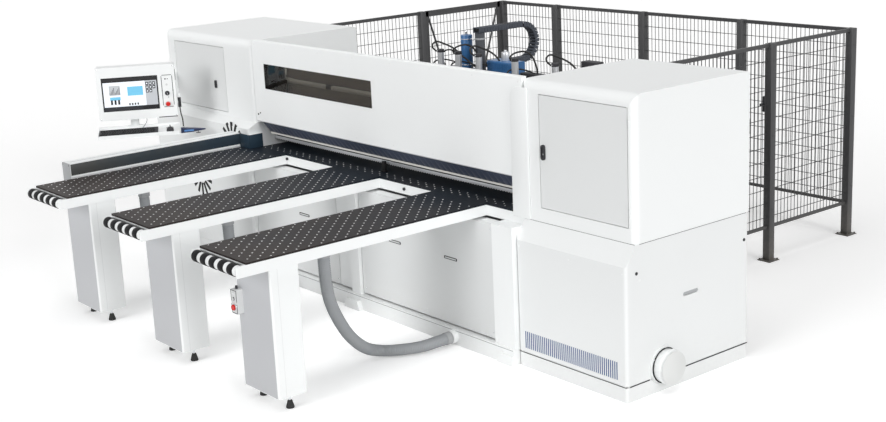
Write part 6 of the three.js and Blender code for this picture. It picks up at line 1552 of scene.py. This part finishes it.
class SAW_OT_rear(bpy.types.Operator):
    """Track wheels, girder bolts, lift caps, foot pads, cover plates, screws and grilles at the rear"""

    bl_idname = "saw.rear"
    bl_label = "Rear"

    def execute(self, context):
        wheel = rod(
            at(TRACK_FIRST + 0.0185, 0.86, 0.9955), at(TRACK_FIRST + 0.0355, 0.86, 0.9955), 0.007, 14, 0.001)
        long = [((TRACK_LAST - TRACK_FIRST) * i / 5, 44) for i in range(6)]
        short = [(x - TRACK_FIRST, 23) for x in (-0.99, -0.687, -0.384)]
        columns = [arrayed(copied(wheel, (x, 0, 0)), count, (0, TRACK_PITCH, 0)) for x, count in long + short]
        bpy.data.objects.remove(wheel)
        finished("track_wheels", columns, "pale_plastic", "steel")
        bolts = pegs([(-3.05, y, 1.59) for y in (0.165, 0.435)], (0, 0, 0.008), 0.0095, 6, 0.001)
        finished("girder_bolts", [arrayed(bolt, 15, (0.21, 0, 0)) for bolt in bolts], "bright_steel")
        lifts = [(x, 0.3, 1.59) for x in (-0.42, -1.575, -2.73)]
        finished("lift_caps", pegs(lifts, (0, 0, 0.022), 0.037, 28, 0.003), "blue_coat")
        pads = [slab(at(x - 0.066, y - 0.066, 0), at(x + 0.066, y + 0.066, 0.0135), 0.003)
                for x, y in (*REAR_FEET, (-0.4, 2.096))]
        finished("rear_pads", pads, "girder_coat")
        anchors = [(x + dx, y + 0.052, 0.0135) for x, y in REAR_FEET for dx in (-0.052, 0.052)]
        finished("rear_anchors", pegs(anchors, (0, 0, 0.0105), 0.008, 6, 0.001), "bright_steel")
        covers = [slab(at(x0, 1.0246, z0), at(x1, COVER_BACK, z1), 0.001) for x0, x1, z0, z1 in REAR_COVERS]
        finished("rear_covers", covers, "panel_coat")
        screws = [
            (x, COVER_BACK - 0.0002, z) for left, right, low, high in REAR_SCREWS
            for x in (left, right) for z in (low, high)]
        finished("rear_screws", pegs(screws, (0, 0.0021, 0), 0.006, 10, 0.0006), "bright_steel")
        slots = [slab(at(x, 1.0262, 0.32), at(x + 0.3, 1.0275, 0.328), 0.0004, 1) for x in (0.3, -4.1)]
        finished("rear_grilles", [arrayed(slot, 10, (0, 0, 0.02)) for slot in slots], "screw_dark")
        return {"FINISHED"}


class SAW_OT_blades(bpy.types.Operator):
    """Flanges, nuts and pins of the blades"""

    bl_idname = "saw.blades"
    bl_label = "Blades"

    def execute(self, context):
        for name, body, x, z, radius in (
                ("main", "main_blade", 0.29, 0.738, 0.052), ("score", "scoring_blade", 0.02, 0.758, 0.037)):
            flange = [rod(at(x, 0.3225, z), at(x, 0.3245, z), radius, 32, 0.0008),
                      rod(at(x, 0.316, z), at(x, 0.3225, z), radius * 0.32, 6, 0.001)]
            for k in range(4):
                angle, reach = math.pi / 2 * k + 0.4, radius * 0.7
                pin = (x + reach * math.cos(angle), 0.3205, z + reach * math.sin(angle))
                flange += pegs([pin], (0, 0.0023, 0), 0.0035, 8)
            finished(f"blade_flange_{name}", flange, "bright_steel", body=body)
        return {"FINISHED"}


CLASSES = [
    SawColours, SawSizes, SAW_OT_camera, SAW_OT_stage, SAW_OT_finishes, SAW_OT_hoses, SAW_OT_fence,
    SAW_OT_jets, SAW_OT_rollers, SAW_OT_arms, SAW_OT_buttons, SAW_OT_squaring, SAW_OT_curtain,
    SAW_OT_guard, SAW_OT_towers, SAW_OT_bed, SAW_OT_console, SAW_OT_pusher, SAW_OT_rear,
    SAW_OT_blades,
]


class SAW_PT_panel(bpy.types.Panel):
    """Steps that dress the beam saw"""

    bl_label = "Beam saw"
    bl_idname = "SAW_PT_panel"
    bl_space_type = "VIEW_3D"
    bl_region_type = "UI"
    bl_category = "Beam saw"

    def draw(self, context):
        for group in (context.scene.saw_sizes, context.scene.saw_colours):
            for key in group.__annotations__:
                self.layout.prop(group, key)
        for kind in CLASSES:
            if issubclass(kind, bpy.types.Operator):
                self.layout.operator(kind.bl_idname)


def register():
    for kind in CLASSES + [SAW_PT_panel]:
        bpy.utils.register_class(kind)
    bpy.types.Scene.saw_colours = PointerProperty(type=SawColours)
    bpy.types.Scene.saw_sizes = PointerProperty(type=SawSizes)


def unregister():
    del bpy.types.Scene.saw_sizes
    del bpy.types.Scene.saw_colours
    for kind in reversed(CLASSES + [SAW_PT_panel]):
        bpy.utils.unregister_class(kind)


def main():
    register()
    bpy.ops.saw.camera()
    bpy.ops.saw.stage()
    bpy.ops.saw.finishes()
    bpy.ops.saw.hoses()
    bpy.ops.saw.fence()
    bpy.ops.saw.jets()
    bpy.ops.saw.rollers()
    bpy.ops.saw.arms()
    bpy.ops.saw.buttons()
    bpy.ops.saw.squaring()
    bpy.ops.saw.curtain()
    bpy.ops.saw.guard()
    bpy.ops.saw.towers()
    bpy.ops.saw.bed()
    bpy.ops.saw.console()
    bpy.ops.saw.pusher()
    bpy.ops.saw.rear()
    bpy.ops.saw.blades()


if __name__ == "__main__":
    main()
